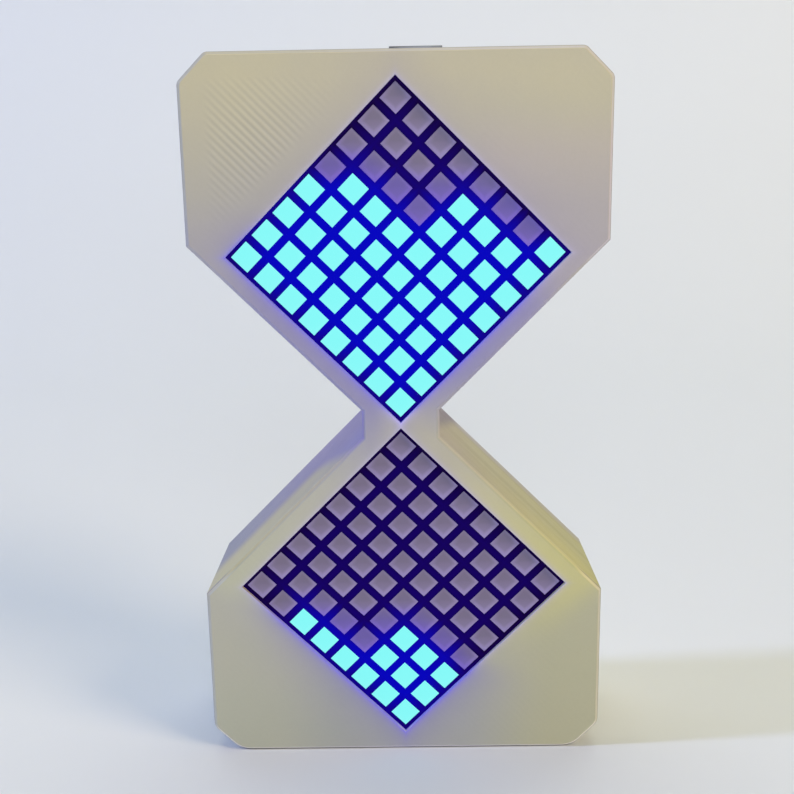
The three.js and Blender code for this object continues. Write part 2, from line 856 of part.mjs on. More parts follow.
// One display with its driver board, about the display's middle
function addDisplay(parent, side, middle, neckWay) {
  const display = addGroup(parent, 0, displayFront, middle);
  const turned = addGroup(display, 0, 0, 0, Math.PI / 4);
  addPiece(turned, side + "_matrix_housing", matrixHousing(), "housing");
  addPiece(turned, side + "_cell_filling", cellFilling(), "filling");
  addPiece(turned, side + "_lamp_board", lampBoard(), "board");
  addPiece(display, side + "_driver_board", driverBoard(), "board");
  const chip = addGroup(turned, 0, driverBack, 0, Math.PI / 2);
  addPiece(chip, side + "_driver_chip", leadedChip(driverChip), "chip");
  const small = addGroup(turned, smallPartAcross, driverBack, 0);
  addPiece(small, side + "_driver_capacitor", cappedPart(capacitorSize), "ceramic");
  const resistorPlace = [0, 0, resistorAlong];
  addPiece(small, side + "_driver_resistor", cappedPart(resistorSize), "chip", resistorPlace);
  // the link socket's mouth faces the waist
  const link = addGroup(display, 0, driverBack, neckWay * linkSocketEdge, neckWay > 0 ? Math.PI : 0);
  addPiece(link, side + "_link_socket", boardSocket(linkSocket), "whitePlastic");
  const plug = socketPlug(linkSocket, linkPlugProud, plugGap);
  addPiece(link, side + "_link_plug", plug, "whitePlastic");
}

// The ribbon through the waist, bowed a little towards the back
function addLink(parent) {
  const depth = displayFront + driverBack + (fineGap + linkSocket.height) / 2;
  const end = displaySpacing / 2 - linkSocketEdge - linkPlugProud - seatGap;
  const straight = end - linkCoreRadius;
  const route = [
    [0, depth, meeting - end],
    [0, depth, meeting - straight],
    [0, depth + linkBow, meeting],
    [0, depth, meeting + straight],
    [0, depth, meeting + end],
  ];
  addPiece(parent, "link_ribbon", tube(ribbonSection(), route), "grey");
}

// The pin strip on the upper driver board and the low socket strip that it enters
function addStrip(parent) {
  const strip = addGroup(parent, 0, displayFront + driverBack, upperMiddle);
  const length = stripPins * stripPinSpacing;
  const blockBack = fineGap + stripThickness;
  const socketFront = blockBack + seatGap;
  const socketBack = wiringRoom - fineGap;
  const pins = stripPlaces().map(([x, z]) =>
    centredBlock(pinSide, pinSide, fineGap - driverBoardThickness, socketBack - fineGap, x, z),
  );
  const carrier = centredBlock(stripWidth, length, fineGap, blockBack, stripAcross, stripUp);
  addPiece(strip, "display_pin_strip", carrier.add(join(pins)), "blackPlastic");
  const holeSide = pinSide + 2 * stripHoleMargin;
  const holes = stripPlaces().map(([x, z]) =>
    centredBlock(holeSide, holeSide, socketFront - cutOverrun, socketBack + cutOverrun, x, z),
  );
  const socket = centredBlock(stripWidth, length, socketFront, socketBack, stripAcross, stripUp);
  addPiece(strip, "display_socket_strip", socket.subtract(join(holes)), "blackPlastic");
}

const tactLegs = rectangle(tactLegSpan, tactLegSpan);
const buzzerLegs = [-buzzerLegSpacing / 2, buzzerLegSpacing / 2];

// The control board about its top edge, its back face at depth 0
function controlBoard() {
  const board = block(-boardHalf, boardHalf, -controlBoardThickness, 0, -controlHeight, 0);
  const screwHole = boardScrewShankRadius + fineGap;
  const screws = boardPostPlaces().map(([x, z]) => [x, z - controlTop, screwHole]);
  const legs = [
    ...row(switchTerminals, terminalPitch).map((x) => [switchAcross + x, -switchDown]),
    ...tactLegs.map(([x, z]) => [buttonAcross + x, z - buttonDown]),
    ...buzzerLegs.map((x) => [buzzerAcross + x, -buzzerDown]),
  ].map(([x, z]) => [x, z, pinHoleRadius]);
  const holes = [...screws, ...legs].map(([x, z, radius]) =>
    rod(radius, radius, -controlBoardThickness - cutOverrun, cutOverrun, x, z, pinHoleSides),
  );
  return board.subtract(join(holes));
}

// The outline of the charging socket: two corners are cut
function socketOutline(inset) {
  const half = socketWidth / 2 - inset;
  const front = inset;
  const back = socketHeight - inset;
  return [
    [-half, front],
    [half, front],
    [half, back - socketCut],
    [half - socketCut, back],
    [socketCut - half, back],
    [-half, back - socketCut],
  ];
}

// A section in X and Y made solid between two heights
function column(points, low, high) {
  const outline = new THREE.Shape(points.map(([x, y]) => new THREE.Vector2(x, y)));
  const geometry = new THREE.ExtrudeGeometry(outline, { depth: high - low, bevelEnabled: false });
  return solid(geometry.translate(0, 0, low));
}

// The socket's sheet-metal shell, open at both ends, its rim at Z 0
function socketShell() {
  const tubeSolid = column(socketOutline(0), -socketLength, 0);
  const bore = column(socketOutline(socketSheet), -socketLength - cutOverrun, cutOverrun);
  return tubeSolid.subtract(bore);
}

// The insulator that closes the shell's back and carries the contacts on its tongue
function socketTongue() {
  const low = fineGap - socketLength;
  const base = column(socketOutline(socketSheet + fineGap), low, low + tongueBaseLength);
  const middle = socketHeight / 2;
  const tongue = block(
    -tongueWidth / 2,
    tongueWidth / 2,
    middle - tongueThickness / 2,
    middle + tongueThickness / 2,
    low + fineGap,
    low + tongueBaseLength + tongueLength - fineGap,
  );
  return base.add(tongue);
}

// The power switch's frame: a sheet-metal box, open towards the board, with a slot
function switchFrame() {
  const slotLength = knobLength + switchTravel + 2 * slideGap;
  const slotWidth = knobWidth + 2 * slideGap;
  const inside = [switchLength - 2 * switchSheet, switchWidth - 2 * switchSheet];
  return centredBlock(switchLength, switchWidth, fineGap, switchHeight)
    .subtract(centredBlock(...inside, -cutOverrun, switchHeight - switchSheet))
    .subtract(centredBlock(slotLength, slotWidth, 0, switchHeight + cutOverrun));
}

// A square leg that enters its hole in the control board
function terminal(x, z) {
  const front = fineGap - controlBoardThickness;
  return centredBlock(terminalSide, terminalSide, front, 2 * fineGap, x, z);
}

// The switch's insulating base and its three terminals
function switchBase() {
  const length = switchLength - 2 * switchSheet - 2 * fineGap;
  const width = switchWidth - 2 * switchSheet - 2 * fineGap;
  const base = centredBlock(length, width, fineGap, switchBaseHeight);
  return base.add(join(row(switchTerminals, terminalPitch).map((x) => terminal(x, 0))));
}

// The slider: a carriage inside the frame and the knob that stands out of it
function switchSlider() {
  const carriageBack = switchHeight - switchSheet - slideGap;
  const knobBack = boardPostHeight + coverThickness - knobRecess;
  const width = switchWidth - 2 * switchSheet - 2 * slideGap;
  const carriage = centredBlock(carriageLength, width, carriageBack - carriageHeight, carriageBack);
  const knob = centredBlock(knobLength, knobWidth, carriageBack - fineGap, knobBack);
  return carriage.add(knob);
}

// The time button's switch: a square body with a well for the plunger and four legs
function tactBody() {
  const radius = plungerRadius + slideGap;
  const body = bevelledPlate(rectangle(tactSide, tactSide), fineGap, tactHeight, seatGap);
  const well = rod(radius, radius, plungerFloor, tactHeight + cutOverrun, 0, 0);
  return body.subtract(well).add(join(tactLegs.map(([x, z]) => terminal(x, z))));
}

const plungerFront = plungerFloor + 2 * seatGap; // leaves the dome its stroke
const plungerBack = tactHeight + plungerReach;

function buttonCap() {
  const noseFront = plungerBack + fineGap;
  const flangeBack = boardPostHeight - slideGap;
  const flangeFront = flangeBack - capFlangeThickness;
  const back = boardPostHeight + coverThickness - capRecess;
  const profile = [
    [0, noseFront],
    [capNoseRadius, noseFront],
    [capNoseRadius, flangeFront],
    [capFlangeRadius, flangeFront],
    [capFlangeRadius, flangeBack],
    [capRadius, flangeBack],
    [capRadius, back - seatGap],
    [capRadius - seatGap, back],
    [0, back],
  ];
  return turnedRod(profile, fineSides);
}

// The buzzer: a round can with a raised rim and a small mouth
function buzzerCan() {
  const profile = [
    [0, fineGap],
    [buzzerRadius, fineGap],
    [buzzerRadius, buzzerHeight - buzzerRim],
    [buzzerRadius - buzzerRim, buzzerHeight],
    [buzzerMouthRadius, buzzerHeight],
    [buzzerMouthRadius, buzzerHeight - buzzerMouthDepth],
    [0, buzzerHeight - buzzerMouthDepth],
  ];
  return turnedRod(profile, fineSides).add(join(buzzerLegs.map((x) => terminal(x, 0))));
}

// A flat square package without leads
function sensorChip() {
  return bevelledPlate(rectangle(sensorSide, sensorSide), fineGap, sensorHeight, fineGap);
}

function crystalCan() {
  const base = centredBlock(crystalLength, crystalWidth, fineGap, crystalHeight - crystalLid);
  const lid = centredBlock(
    crystalLength - 2 * crystalLid,
    crystalWidth - 2 * crystalLid,
    fineGap,
    crystalHeight,
  );
  return base.add(lid);
}

// The board and the chips that lie on it, about the board's top edge and back face
function addControlBoard(controls) {
  addPiece(controls, "control_board", controlBoard(), "board");
  boardPostPlaces().forEach(([x, z], i) => {
    const place = [x, -controlBoardThickness - fineGap, z - controlTop];
    addPiece(controls, "board_screw_" + (i + 1), boardScrew(), "steel", place);
  });
  const chargerPlace = [chargerAcross, 0, -chargerDown];
  addPiece(controls, "charger_chip", leadedChip(chargerChip), "chip", chargerPlace);
  const controllerPlace = [controllerAcross, 0, -controllerDown];
  addPiece(controls, "controller_chip", leadedChip(controllerChip), "chip", controllerPlace);
  addPiece(controls, "clock_crystal", crystalCan(), "steel", [crystalAcross, 0, -crystalDown]);
  addPiece(controls, "motion_sensor_chip", sensorChip(), "chip", [sensorAcross, 0, -sensorDown]);
}

// What is pressed, slid, plugged in, seen or heard, about the same place
function addControls(controls) {
  const rim = caseHeight + socketReach - controlTop;
  const socketPlace = [socketAcross, fineGap, rim];
  addPiece(controls, "charge_socket_shell", socketShell(), "steel", socketPlace);
  addPiece(controls, "charge_socket_tongue", socketTongue(), "blackPlastic", socketPlace);
  addPiece(controls, "charge_lamp", cappedPart(lampSize), "lamp", [socketAcross, 0, -lampDown]);
  addPiece(controls, "buzzer", buzzerCan(), "blackPlastic", [buzzerAcross, 0, -buzzerDown]);
  const switchPlace = [switchAcross, 0, -switchDown];
  addPiece(controls, "power_switch_frame", switchFrame(), "steel", switchPlace);
  addPiece(controls, "power_switch_base", switchBase(), "blackPlastic", switchPlace);
  const sliderPlace = [knobMiddle, 0, -switchDown];
  addPiece(controls, "power_switch_slider", switchSlider(), "blackPlastic", sliderPlace);
  const buttonPlace = [buttonAcross, 0, -buttonDown];
  addPiece(controls, "time_button_switch", tactBody(), "blackPlastic", buttonPlace);
  const plunger = rod(plungerRadius, plungerRadius, plungerFront, plungerBack, 0, 0);
  addPiece(controls, "time_button_plunger", plunger, "blackPlastic", buttonPlace);
  addPiece(controls, "time_button_cap", buttonCap(), "shell", buttonPlace);
  const socket = addGroup(controls, batterySocketAcross, 0, -controlHeight);
  addPiece(socket, "battery_socket", boardSocket(batterySocket), "whitePlastic");
  const plug = socketPlug(batterySocket, batteryPlugProud, plugGap);
  addPiece(socket, "battery_plug", plug, "whitePlastic");
}

// A flat pouch cell with rounded long edges, its guard board, pad and leads
function addBattery(parent) {
  const half = cellWidth / 2;
  const round = cellThickness / 2;
  const quarter = Math.PI / 2;
  const outline = new THREE.Shape();
  outline.moveTo(round - half, 0);
  outline.lineTo(half - round, 0);
  outline.absarc(half - round, round, round, -quarter, quarter, false);
  outline.lineTo(round - half, cellThickness);
  outline.absarc(round - half, round, round, quarter, 3 * quarter, false);
  const geometry = new THREE.ExtrudeGeometry(outline, {
    depth: cellHeight,
    bevelEnabled: false,
    curveSegments: arcSteps * 2,
  });
  const battery = addGroup(parent, 0, cellBack - cellThickness, cellBase);
  addPiece(battery, "battery_cell", solid(geometry), "foil");
  const guardMiddle = cellThickness / 2;
  const guardTop = cellHeight + seatGap + guardBoardHeight;
  const guard = block(
    -guardBoardWidth / 2,
    guardBoardWidth / 2,
    guardMiddle - guardBoardThickness / 2,
    guardMiddle + guardBoardThickness / 2,
    cellHeight + seatGap,
    guardTop,
  );
  addPiece(battery, "battery_guard_board", guard, "board");
  const pad = block(padInset - half, half - padInset, 0, padThickness, padInset, cellHeight - padInset);
  addPiece(battery, "battery_pad", pad, "foam", [0, cellThickness + fineGap, 0]);
  addLeads(parent, cellBack - guardMiddle, cellBase + guardTop + fineGap);
}

// Two leads from the guard board through the waist to the battery plug
function addLeads(parent, startDepth, startHeight) {
  const endDepth = controlBack + (fineGap + batterySocket.height) / 2;
  const endHeight = controlBottom - batteryPlugProud - fineGap;
  const colours = ["red", "black"];
  colours.forEach((colour, i) => {
    const offset = (i - 1 / 2) * leadSpacing;
    const route = [
      [offset, startDepth, startHeight],
      [offset, startDepth, startHeight + leadSpacing],
      [offset - leadSway, (startDepth + endDepth) / 2, caseMiddle],
      [batterySocketAcross + offset, endDepth, endHeight - leadSpacing],
      [batterySocketAcross + offset, endDepth, endHeight],
    ];
    addPiece(parent, "battery_lead_" + colour, tube(roundSection(leadRadius), route), colour);
  });
}

function addCase(parent) {
  addPiece(parent, "front_shell", frontShell(), "shell");
  addPiece(parent, "rear_cover", rearCover(), "shell");
  bossPlaces.forEach(([x, z], i) => {
    const place = [x, caseDepth - fineGap, z];
    addPiece(parent, "cover_screw_" + (i + 1), coverScrew(), "steel", place);
  });
}

const timer = new THREE.Group();
const contents = addGroup(timer, 0, -caseDepth / 2, 0);
addCase(contents);
addDisplay(contents, "upper", upperMiddle, -1);
addDisplay(contents, "lower", lowerMiddle, 1);
addLink(contents);
addStrip(contents);
const controls = addGroup(contents, 0, controlBack, controlTop);
addControlBoard(controls);
addControls(controls);
addBattery(contents);

export default timer;
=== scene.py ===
"""Looks of the electronic hourglass timer: moulded case, dot displays, controls and boards.

Lengths are metres in the frame of the solids: X to the right, Y from the displays to the
back and Z up. Only what says so is in millimetres.
"""

import json
import math

import bmesh
import bpy
from bpy.props import FloatProperty, FloatVectorProperty, IntVectorProperty, PointerProperty
from mathutils import Matrix, Vector

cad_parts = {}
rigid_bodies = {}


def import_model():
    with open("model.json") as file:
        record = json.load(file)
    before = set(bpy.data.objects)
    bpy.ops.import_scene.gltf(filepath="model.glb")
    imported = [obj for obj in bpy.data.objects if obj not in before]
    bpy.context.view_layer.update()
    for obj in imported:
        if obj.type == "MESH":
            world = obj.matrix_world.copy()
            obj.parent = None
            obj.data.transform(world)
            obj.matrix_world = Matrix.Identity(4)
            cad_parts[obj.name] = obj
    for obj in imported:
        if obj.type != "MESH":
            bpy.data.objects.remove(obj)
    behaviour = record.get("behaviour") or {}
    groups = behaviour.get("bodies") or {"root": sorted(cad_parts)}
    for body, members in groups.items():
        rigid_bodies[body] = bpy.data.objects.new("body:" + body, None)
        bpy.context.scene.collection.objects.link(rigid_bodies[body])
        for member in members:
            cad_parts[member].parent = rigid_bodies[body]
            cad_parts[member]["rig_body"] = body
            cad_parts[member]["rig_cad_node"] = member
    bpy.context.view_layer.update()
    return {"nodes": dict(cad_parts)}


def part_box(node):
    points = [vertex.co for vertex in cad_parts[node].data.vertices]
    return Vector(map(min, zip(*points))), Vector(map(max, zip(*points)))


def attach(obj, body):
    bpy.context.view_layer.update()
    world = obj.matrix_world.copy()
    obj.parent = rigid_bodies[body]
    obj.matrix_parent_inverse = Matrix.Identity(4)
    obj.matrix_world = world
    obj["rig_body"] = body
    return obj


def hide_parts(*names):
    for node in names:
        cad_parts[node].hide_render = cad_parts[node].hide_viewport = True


bl_info = {
    "name": "Electronic hourglass timer",
    "version": (1, 0, 0),
    "blender": (4, 5, 0),
    "location": "View3D > Sidebar > Timer",
    "description": "Builds the looks of an electronic hourglass timer on its solids",
    "category": "Object",
}

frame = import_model()
MM = 0.001
DOTS = 8
CASE_LOW, CASE_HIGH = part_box("front_shell")
CASE_FRONT = CASE_LOW.y
SEAM = CASE_HIGH.y
CASE_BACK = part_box("rear_cover")[1].y
CASE_TOP = CASE_HIGH.z
DISPLAYS = ("upper", "lower")
HOUSING_LOW, HOUSING_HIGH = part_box("upper_matrix_housing")
SLANT = 1 / math.sqrt(2)
# the displays are squares that stand on a corner
DISPLAY_SIDE = (HOUSING_HIGH.x - HOUSING_LOW.x) * SLANT
PITCH = DISPLAY_SIDE / DOTS
WELL_SIDE = 3 * MM
# round_chosen leaves flatter edges alone
SHARP = math.radians(20)
# closer points of the rear cover are joined
WELD = 0.045 * MM
BLACK = (0.0, 0.0, 0.0)
# cutters of the rear cover's holes: radius and height pairs in millimetres, from outside in
BUTTON_HOLE = ((5.52, 0.2), (2.68, -0.51), (2.68, -4))
SCREW_HOLE = ((2.1, 0.3), (2.1, -0.34), (1.17, -1.43))
SOUND_HOLE = ((0.66, 1), (0.66, -4))
SOUND_RING = 2.4 * MM


def middle_of(node):
    """The middle of a node's box."""
    low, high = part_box(node)
    return (low + high) / 2


# Shader nodes


def arithmetic(operation, swapped=False):
    """A method that feeds a value and another one to a maths node."""

    def method(value, other=0.0):
        pair = (other, value) if swapped else (value, other)
        settings = {"operation": operation}
        return value.paint.node("ShaderNodeMath", settings, dict(enumerate(pair)))

    return method


class Value:
    """The output of a shader node, with the arithmetic that materials are written in."""

    __add__ = arithmetic("ADD")
    __radd__ = arithmetic("ADD", swapped=True)
    __sub__ = arithmetic("SUBTRACT")
    __rsub__ = arithmetic("SUBTRACT", swapped=True)
    __mul__ = arithmetic("MULTIPLY")
    __truediv__ = arithmetic("DIVIDE")
    __abs__ = arithmetic("ABSOLUTE")
    most = arithmetic("MAXIMUM")
    sine = arithmetic("SINE")
    exponent = arithmetic("EXPONENT")

    def __init__(self, paint, link):
        self.paint = paint
        self.link = link

    def smooth(self, start, end):
        """Rises smoothly from 0 to 1 while the value goes from start to end."""
        settings = {"interpolation_type": "SMOOTHSTEP"}
        inputs = {"Value": self, "From Min": start, "From Max": end}
        return self.paint.node("ShaderNodeMapRange", settings, inputs)

    def rise(self, start, end):
        """Rises smoothly from 0 to 1 while a length goes from start to end, in millimetres."""
        return self.smooth(start * MM, end * MM)

    def fall(self, start, end):
        """Falls from 1 to 0 where rise would rise."""
        return 1 - self.rise(start, end)

    def wave(self, length):
        """A sine of 0 to 1 with that wavelength."""
        return (self * (2 * math.pi / length)).sine() * 0.5 + 0.5

    def fade(self, reach):
        """Falls from 1 at 0 as the value grows, to about a third at the reach."""
        return (self * (-1 / reach)).exponent()


class Paint:
    """A material on a principled shader, written node by node."""

    def __init__(self, name, specular=0.5, metallic=0.0):
        self.material = bpy.data.materials.new(name)
        self.material.use_nodes = True
        self.tree = self.material.node_tree
        self.shader = self.tree.nodes["Principled BSDF"]
        self.set("Specular IOR Level", specular)
        self.set("Metallic", metallic)

    def join(self, value, socket):
        """Feeds a socket; a colour is given by its three parts."""
        if isinstance(value, Value):
            self.tree.links.new(value.link, socket)
        else:
            socket.default_value = (*value, 1) if socket.type == "RGBA" else value

    def set(self, socket, value):
        self.join(value, self.shader.inputs[socket])

    def node(self, kind, settings=None, inputs=None, output=0):
        """Adds a node with its settings and its sockets' values or links."""
        made = self.tree.nodes.new(kind)
        for key, value in (settings or {}).items():
            setattr(made, key, value)
        for key, value in (inputs or {}).items():
            self.join(value, made.inputs[key])
        return Value(self, made.outputs[output])

    def ramp(self, value, stops):
        """A colour for each value, from places and their colours."""
        made = self.node("ShaderNodeValToRGB", {}, {0: value})
        elements = made.link.node.color_ramp.elements
        for i, (place, color) in enumerate(stops):
            stop = elements[i] if i < len(elements) else elements.new(place)
            stop.position = place
            stop.color = (*color, 1)
        return made

    def place(self):
        return self.node("ShaderNodeTexCoord", output="Object")

    def axes(self):
        parts = self.node("ShaderNodeSeparateXYZ", {}, {0: self.place()})
        return [Value(self, output) for output in parts.link.node.outputs]

    def noise(self, scale, detail=2.0, roughness=0.5, stretch=None):
        """Noise of about a scale per metre, which may be stretched along the axes."""
        place = self.place()
        if stretch:
            place = self.node("ShaderNodeMapping", {}, {"Vector": place, "Scale": stretch})
        inputs = {"Vector": place, "Scale": scale, "Detail": detail, "Roughness": roughness}
        return self.node("ShaderNodeTexNoise", {}, inputs)

    def mix(self, share, first, second):
        return self.node("ShaderNodeMix", {"data_type": "RGBA"}, {0: share, 6: first, 7: second}, 2)

    def vector(self, operation, first, second, output=0):
        settings = {"operation": operation}
        return self.node("ShaderNodeVectorMath", settings, {0: first, 1: second}, output)

    def tint(self, color, share, factors):
        """Multiplies each part of a colour by a factor of its own where the share is 1."""
        return self.mix(share, color, self.vector("MULTIPLY", color, factors))

    def stored(self, name):
        return self.node("ShaderNodeAttribute", {"attribute_name": name}, {}, "Fac")

    def along(self, centre, direction):
        """How far a point lies from a centre, measured in one direction."""
        away = self.vector("SUBTRACT", self.place(), centre)
        return self.vector("DOT_PRODUCT", away, direction, "Value")

    def shine(self, color):
        self.set("Emission Color", color)
        self.set("Emission Strength", 1.0)

    def finished(self, color, roughness, height, depth, strength=0.5):
        """Sets the last values, with a bump of a depth in millimetres, and gives the material."""
        self.set("Base Color", color)
        self.set("Roughness", roughness)
        inputs = {"Strength": strength, "Distance": depth * MM, "Height": height}
        self.set("Normal", self.node("ShaderNodeBump", {}, inputs))
        return self.material


# Modelling


def start():
    """Leaves edit mode with nothing selected."""
    if bpy.context.mode != "OBJECT":
        bpy.ops.object.mode_set(mode="OBJECT")
    bpy.ops.object.select_all(action="DESELECT")


def take(*pieces):
    """Selects only these pieces, with the first one active."""
    start()
    for piece in pieces:
        piece.select_set(True)
    bpy.context.view_layer.objects.active = pieces[0]


def named(name):
    """Names the piece that was added last."""
    piece = bpy.context.active_object
    piece.name = name
    piece.data.name = name
    return piece


def choose(piece, kind="FACE", test=lambda item: True):
    """Opens a piece in edit mode with the faces or edges selected that pass a test."""
    take(piece)
    bpy.ops.object.mode_set(mode="EDIT")
    bpy.ops.mesh.select_mode(type=kind)
    bpy.ops.mesh.select_all(action="DESELECT")
    mesh = bmesh.from_edit_mesh(piece.data)
    for item in mesh.faces if kind == "FACE" else mesh.edges:
        if test(item):
            item.select_set(True)
    mesh.select_flush_mode()
    bmesh.update_edit_mesh(piece.data)


def push(height):
    """Extrudes what is selected along Z."""
    bpy.ops.mesh.extrude_region_move(TRANSFORM_OT_translate={"value": (0, 0, height)})


def inset(thickness, depth=0.0):
    """Insets each selected face by itself."""
    bpy.ops.mesh.inset(thickness=thickness, depth=depth, use_individual=True)


def turn_out(piece):
    """Points a closed piece's faces outwards."""
    choose(piece)
    bpy.ops.mesh.normals_make_consistent()
    start()


def weld(piece, reach, angle):
    """Joins points within a reach and merges faces that lie flat to some degrees."""
    choose(piece)
    bpy.ops.mesh.remove_doubles(threshold=reach)
    bpy.ops.mesh.dissolve_limited(angle_limit=math.radians(angle))
    start()


def copy_node(node, name):
    """A copy of a node's solid with its flat faces merged, free to be shaped."""
    take(frame["nodes"][node])
    bpy.ops.object.duplicate()
    piece = named(name)
    bpy.ops.object.parent_clear(type="CLEAR_KEEP_TRANSFORM")
    del piece["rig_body"]
    del piece["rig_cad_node"]
    weld(piece, 0.002 * MM, angle=0.5)
    return piece


def modify(piece, kind, **settings):
    """Adds a modifier to a piece and applies it."""
    take(piece)
    bpy.ops.object.modifier_add(type=kind)
    modifier = piece.modifiers[-1]
    for key, value in settings.items():
        setattr(modifier, key, value)
    bpy.ops.object.modifier_apply(modifier=modifier.name)


def round_edges(piece, width, segments=2, angle=30):
    """Rounds every edge sharper than an angle."""
    limit = {"limit_method": "ANGLE", "angle_limit": math.radians(angle)}
    modify(piece, "BEVEL", width=width, segments=segments, use_clamp_overlap=True, **limit)


def round_chosen(piece, width, test, segments=2):
    """Rounds the sharp edges that pass a test."""

    def sharp(edge):
        return edge.is_manifold and edge.calc_face_angle() > SHARP and test(edge)

    choose(piece, "EDGE", sharp)
    bpy.ops.mesh.bevel(offset=width, segments=segments, clamp_overlap=True)
    start()


def join_pieces(pieces, name):
    take(*pieces)
    if len(pieces) > 1:
        bpy.ops.object.join()
    return named(name)


def cut(piece, cutters):
    """Cuts the joined shape of the cutters out of a piece."""
    cutter = join_pieces(cutters, "cutter")
    modify(piece, "BOOLEAN", operation="DIFFERENCE", solver="EXACT", object=cutter)
    take(cutter)
    bpy.ops.object.delete()


def settle(piece):
    """Keeps a piece's place, turn and scale in its mesh."""
    take(piece)
    bpy.ops.object.transform_apply(location=True, rotation=True, scale=True)


def lay(piece, place):
    """Moves a piece to its place and settles it there."""
    piece.matrix_world = place
    settle(piece)


def scale_flat(share, height):
    """Scales what is selected about the Z axis at a height."""
    bpy.ops.transform.resize(value=(share, share, 1), center_override=(0, 0, height))


def turned(name, profile, sides=64):
    """A turned shape of radius and height pairs, from the top down, in millimetres."""
    start()
    (radius, height), *rest = profile
    bpy.ops.mesh.primitive_circle_add(
        vertices=sides, radius=radius * MM, fill_type="NGON", location=(0, 0, height * MM)
    )
    piece = named(name)
    settle(piece)
    choose(piece)
    for next_radius, next_height in rest:
        push((next_height - height) * MM)
        scale_flat(next_radius / radius, next_height * MM)
        radius, height = next_radius, next_height
    turn_out(piece)
    return piece


def bar(name, size, taper=1.0):
    """A block of a size in millimetres about the origin, whose lower face may be narrower."""
    start()
    bpy.ops.mesh.primitive_cube_add(size=1)
    piece = named(name)
    piece.scale = [length * MM for length in size]
    settle(piece)
    if taper != 1.0:
        choose(piece, "FACE", lambda face: face.normal.z < -0.5)
        scale_flat(taper, -size[2] / 2 * MM)
        start()
    return piece


def grid(name, size, across, along):
    """A flat square about the origin, divided into equal cells."""
    start()
    bpy.ops.mesh.primitive_grid_add(x_subdivisions=across, y_subdivisions=along, size=size)
    return named(name)


def facing_back(x, y, z):
    """A place whose own Z points to the timer's back."""
    return Matrix.Translation((x, y, z)) @ Matrix.Rotation(-math.pi / 2, 4, "X")


def dress(piece, material):
    piece.data.materials.clear()
    piece.data.materials.append(material)


def finish(piece, body, material, nodes, angle=35):
    """Shades a piece, gives it its finish and its body, and hides the nodes that it stands for."""
    take(piece)
    bpy.ops.object.shade_smooth_by_angle(angle=math.radians(angle))
    dress(piece, material)
    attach(piece, body)
    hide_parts(*nodes)


def paint_nodes(material, *nodes):
    """Gives solids that stay as they are their finish."""
    for node in nodes:
        dress(frame["nodes"][node], material)


# The panel's values

COLOR = {"subtype": "COLOR", "size": 3, "min": 0, "max": 1}
ROWS = {"size": DOTS, "min": 0, "max": DOTS}


class CaseLook(bpy.types.PropertyGroup):
    """The case's plastic."""

    # the three case colours hold painted light: the case is painted lighter towards the top
    upper_color: FloatVectorProperty(
        name="Upper colour", description="At the top", default=(0.68, 0.615, 0.405), **COLOR
    )
    middle_color: FloatVectorProperty(
        name="Middle colour", description="Above the waist", default=(0.535, 0.505, 0.43), **COLOR
    )
    lower_color: FloatVectorProperty(
        name="Lower colour", description="At the base", default=(0.505, 0.505, 0.39), **COLOR
    )
    glow_color: FloatVectorProperty(
        name="Glow", description="The dots' light", default=(0.045, 0.03, 0.29), **COLOR
    )
    edge_radius: FloatProperty(
        name="Edge radius", description="Rounding of the edges",
        default=0.00012, min=0.00002, max=0.0003, subtype="DISTANCE",
    )
    line_spacing: FloatProperty(
        name="Line spacing", description="Distance between the faint diagonal lines",
        default=0.0008, min=0.0002, max=0.002, subtype="DISTANCE",
    )


class DisplayLook(bpy.types.PropertyGroup):
    """The dots and what is shown on them."""

    upper_dots: IntVectorProperty(
        name="Upper dots", description="Lit dots in each slanting row of the upper display",
        default=(4, 5, 5, 5, 7, 7, 7, 8), **ROWS,
    )
    lower_dots: IntVectorProperty(
        name="Lower dots", description="Lit dots in each slanting row of the lower display",
        default=(0, 0, 1, 1, 1, 3, 3, 3), **ROWS,
    )
    lit_color: FloatVectorProperty(
        name="Lit colour", description="Colour of a lit dot", default=(0.222, 0.92, 0.9), **COLOR
    )
    resin_color: FloatVectorProperty(
        name="Resin", description="Colour of a dark dot", default=(0.225, 0.187, 0.275), **COLOR
    )
    frame_glow: FloatVectorProperty(
        name="Frame glow", description="Between lit dots", default=(0.0, 0.001, 0.53), **COLOR
    )
    dot_side: FloatProperty(
        name="Dot side", description="Side of a dot's window",
        default=0.00298, min=0.002, max=0.0035, subtype="DISTANCE",
    )


class InsideLook(bpy.types.PropertyGroup):
    """The boards and the metal."""

    board_color: FloatVectorProperty(
        name="Board", description="The boards' lacquer", default=(0.02, 0.16, 0.07), **COLOR
    )
    steel_color: FloatVectorProperty(
        name="Steel", description="Plated steel", default=(0.56, 0.56, 0.55), **COLOR
    )


class StageLook(bpy.types.PropertyGroup):
    """The floor, the lamps and the air."""

    floor_color: FloatVectorProperty(
        name="Floor", description="Floor and backdrop", default=(0.87, 0.9, 0.925), **COLOR
    )
    air_color: FloatVectorProperty(
        name="Air", description="Light from all round", default=(0.5, 0.95, 1.0), **COLOR
    )
    air_level: FloatProperty(
        name="Air level", description="Strength of that light", default=0.05, min=0, max=2
    )


# Materials of what is seen from outside


def from_displays(x, z):
    """Distance outside the nearer display's edge, and how far its lit part reaches there."""
    found = {}
    # where the lit part ends in each display: slope, full and none
    limits = {"upper": (0.22, -4.5, 3.5), "lower": (0.32, -11.5, -7.0)}
    for side, (slope, full, none) in limits.items():
        up = z - middle_of(side + "_matrix_housing").z
        away = ((abs(x) + abs(up)) * SLANT - DISPLAY_SIDE / 2).most(0.0)
        found[side] = (away, (up + x * slope).rise(none, full))
    return found


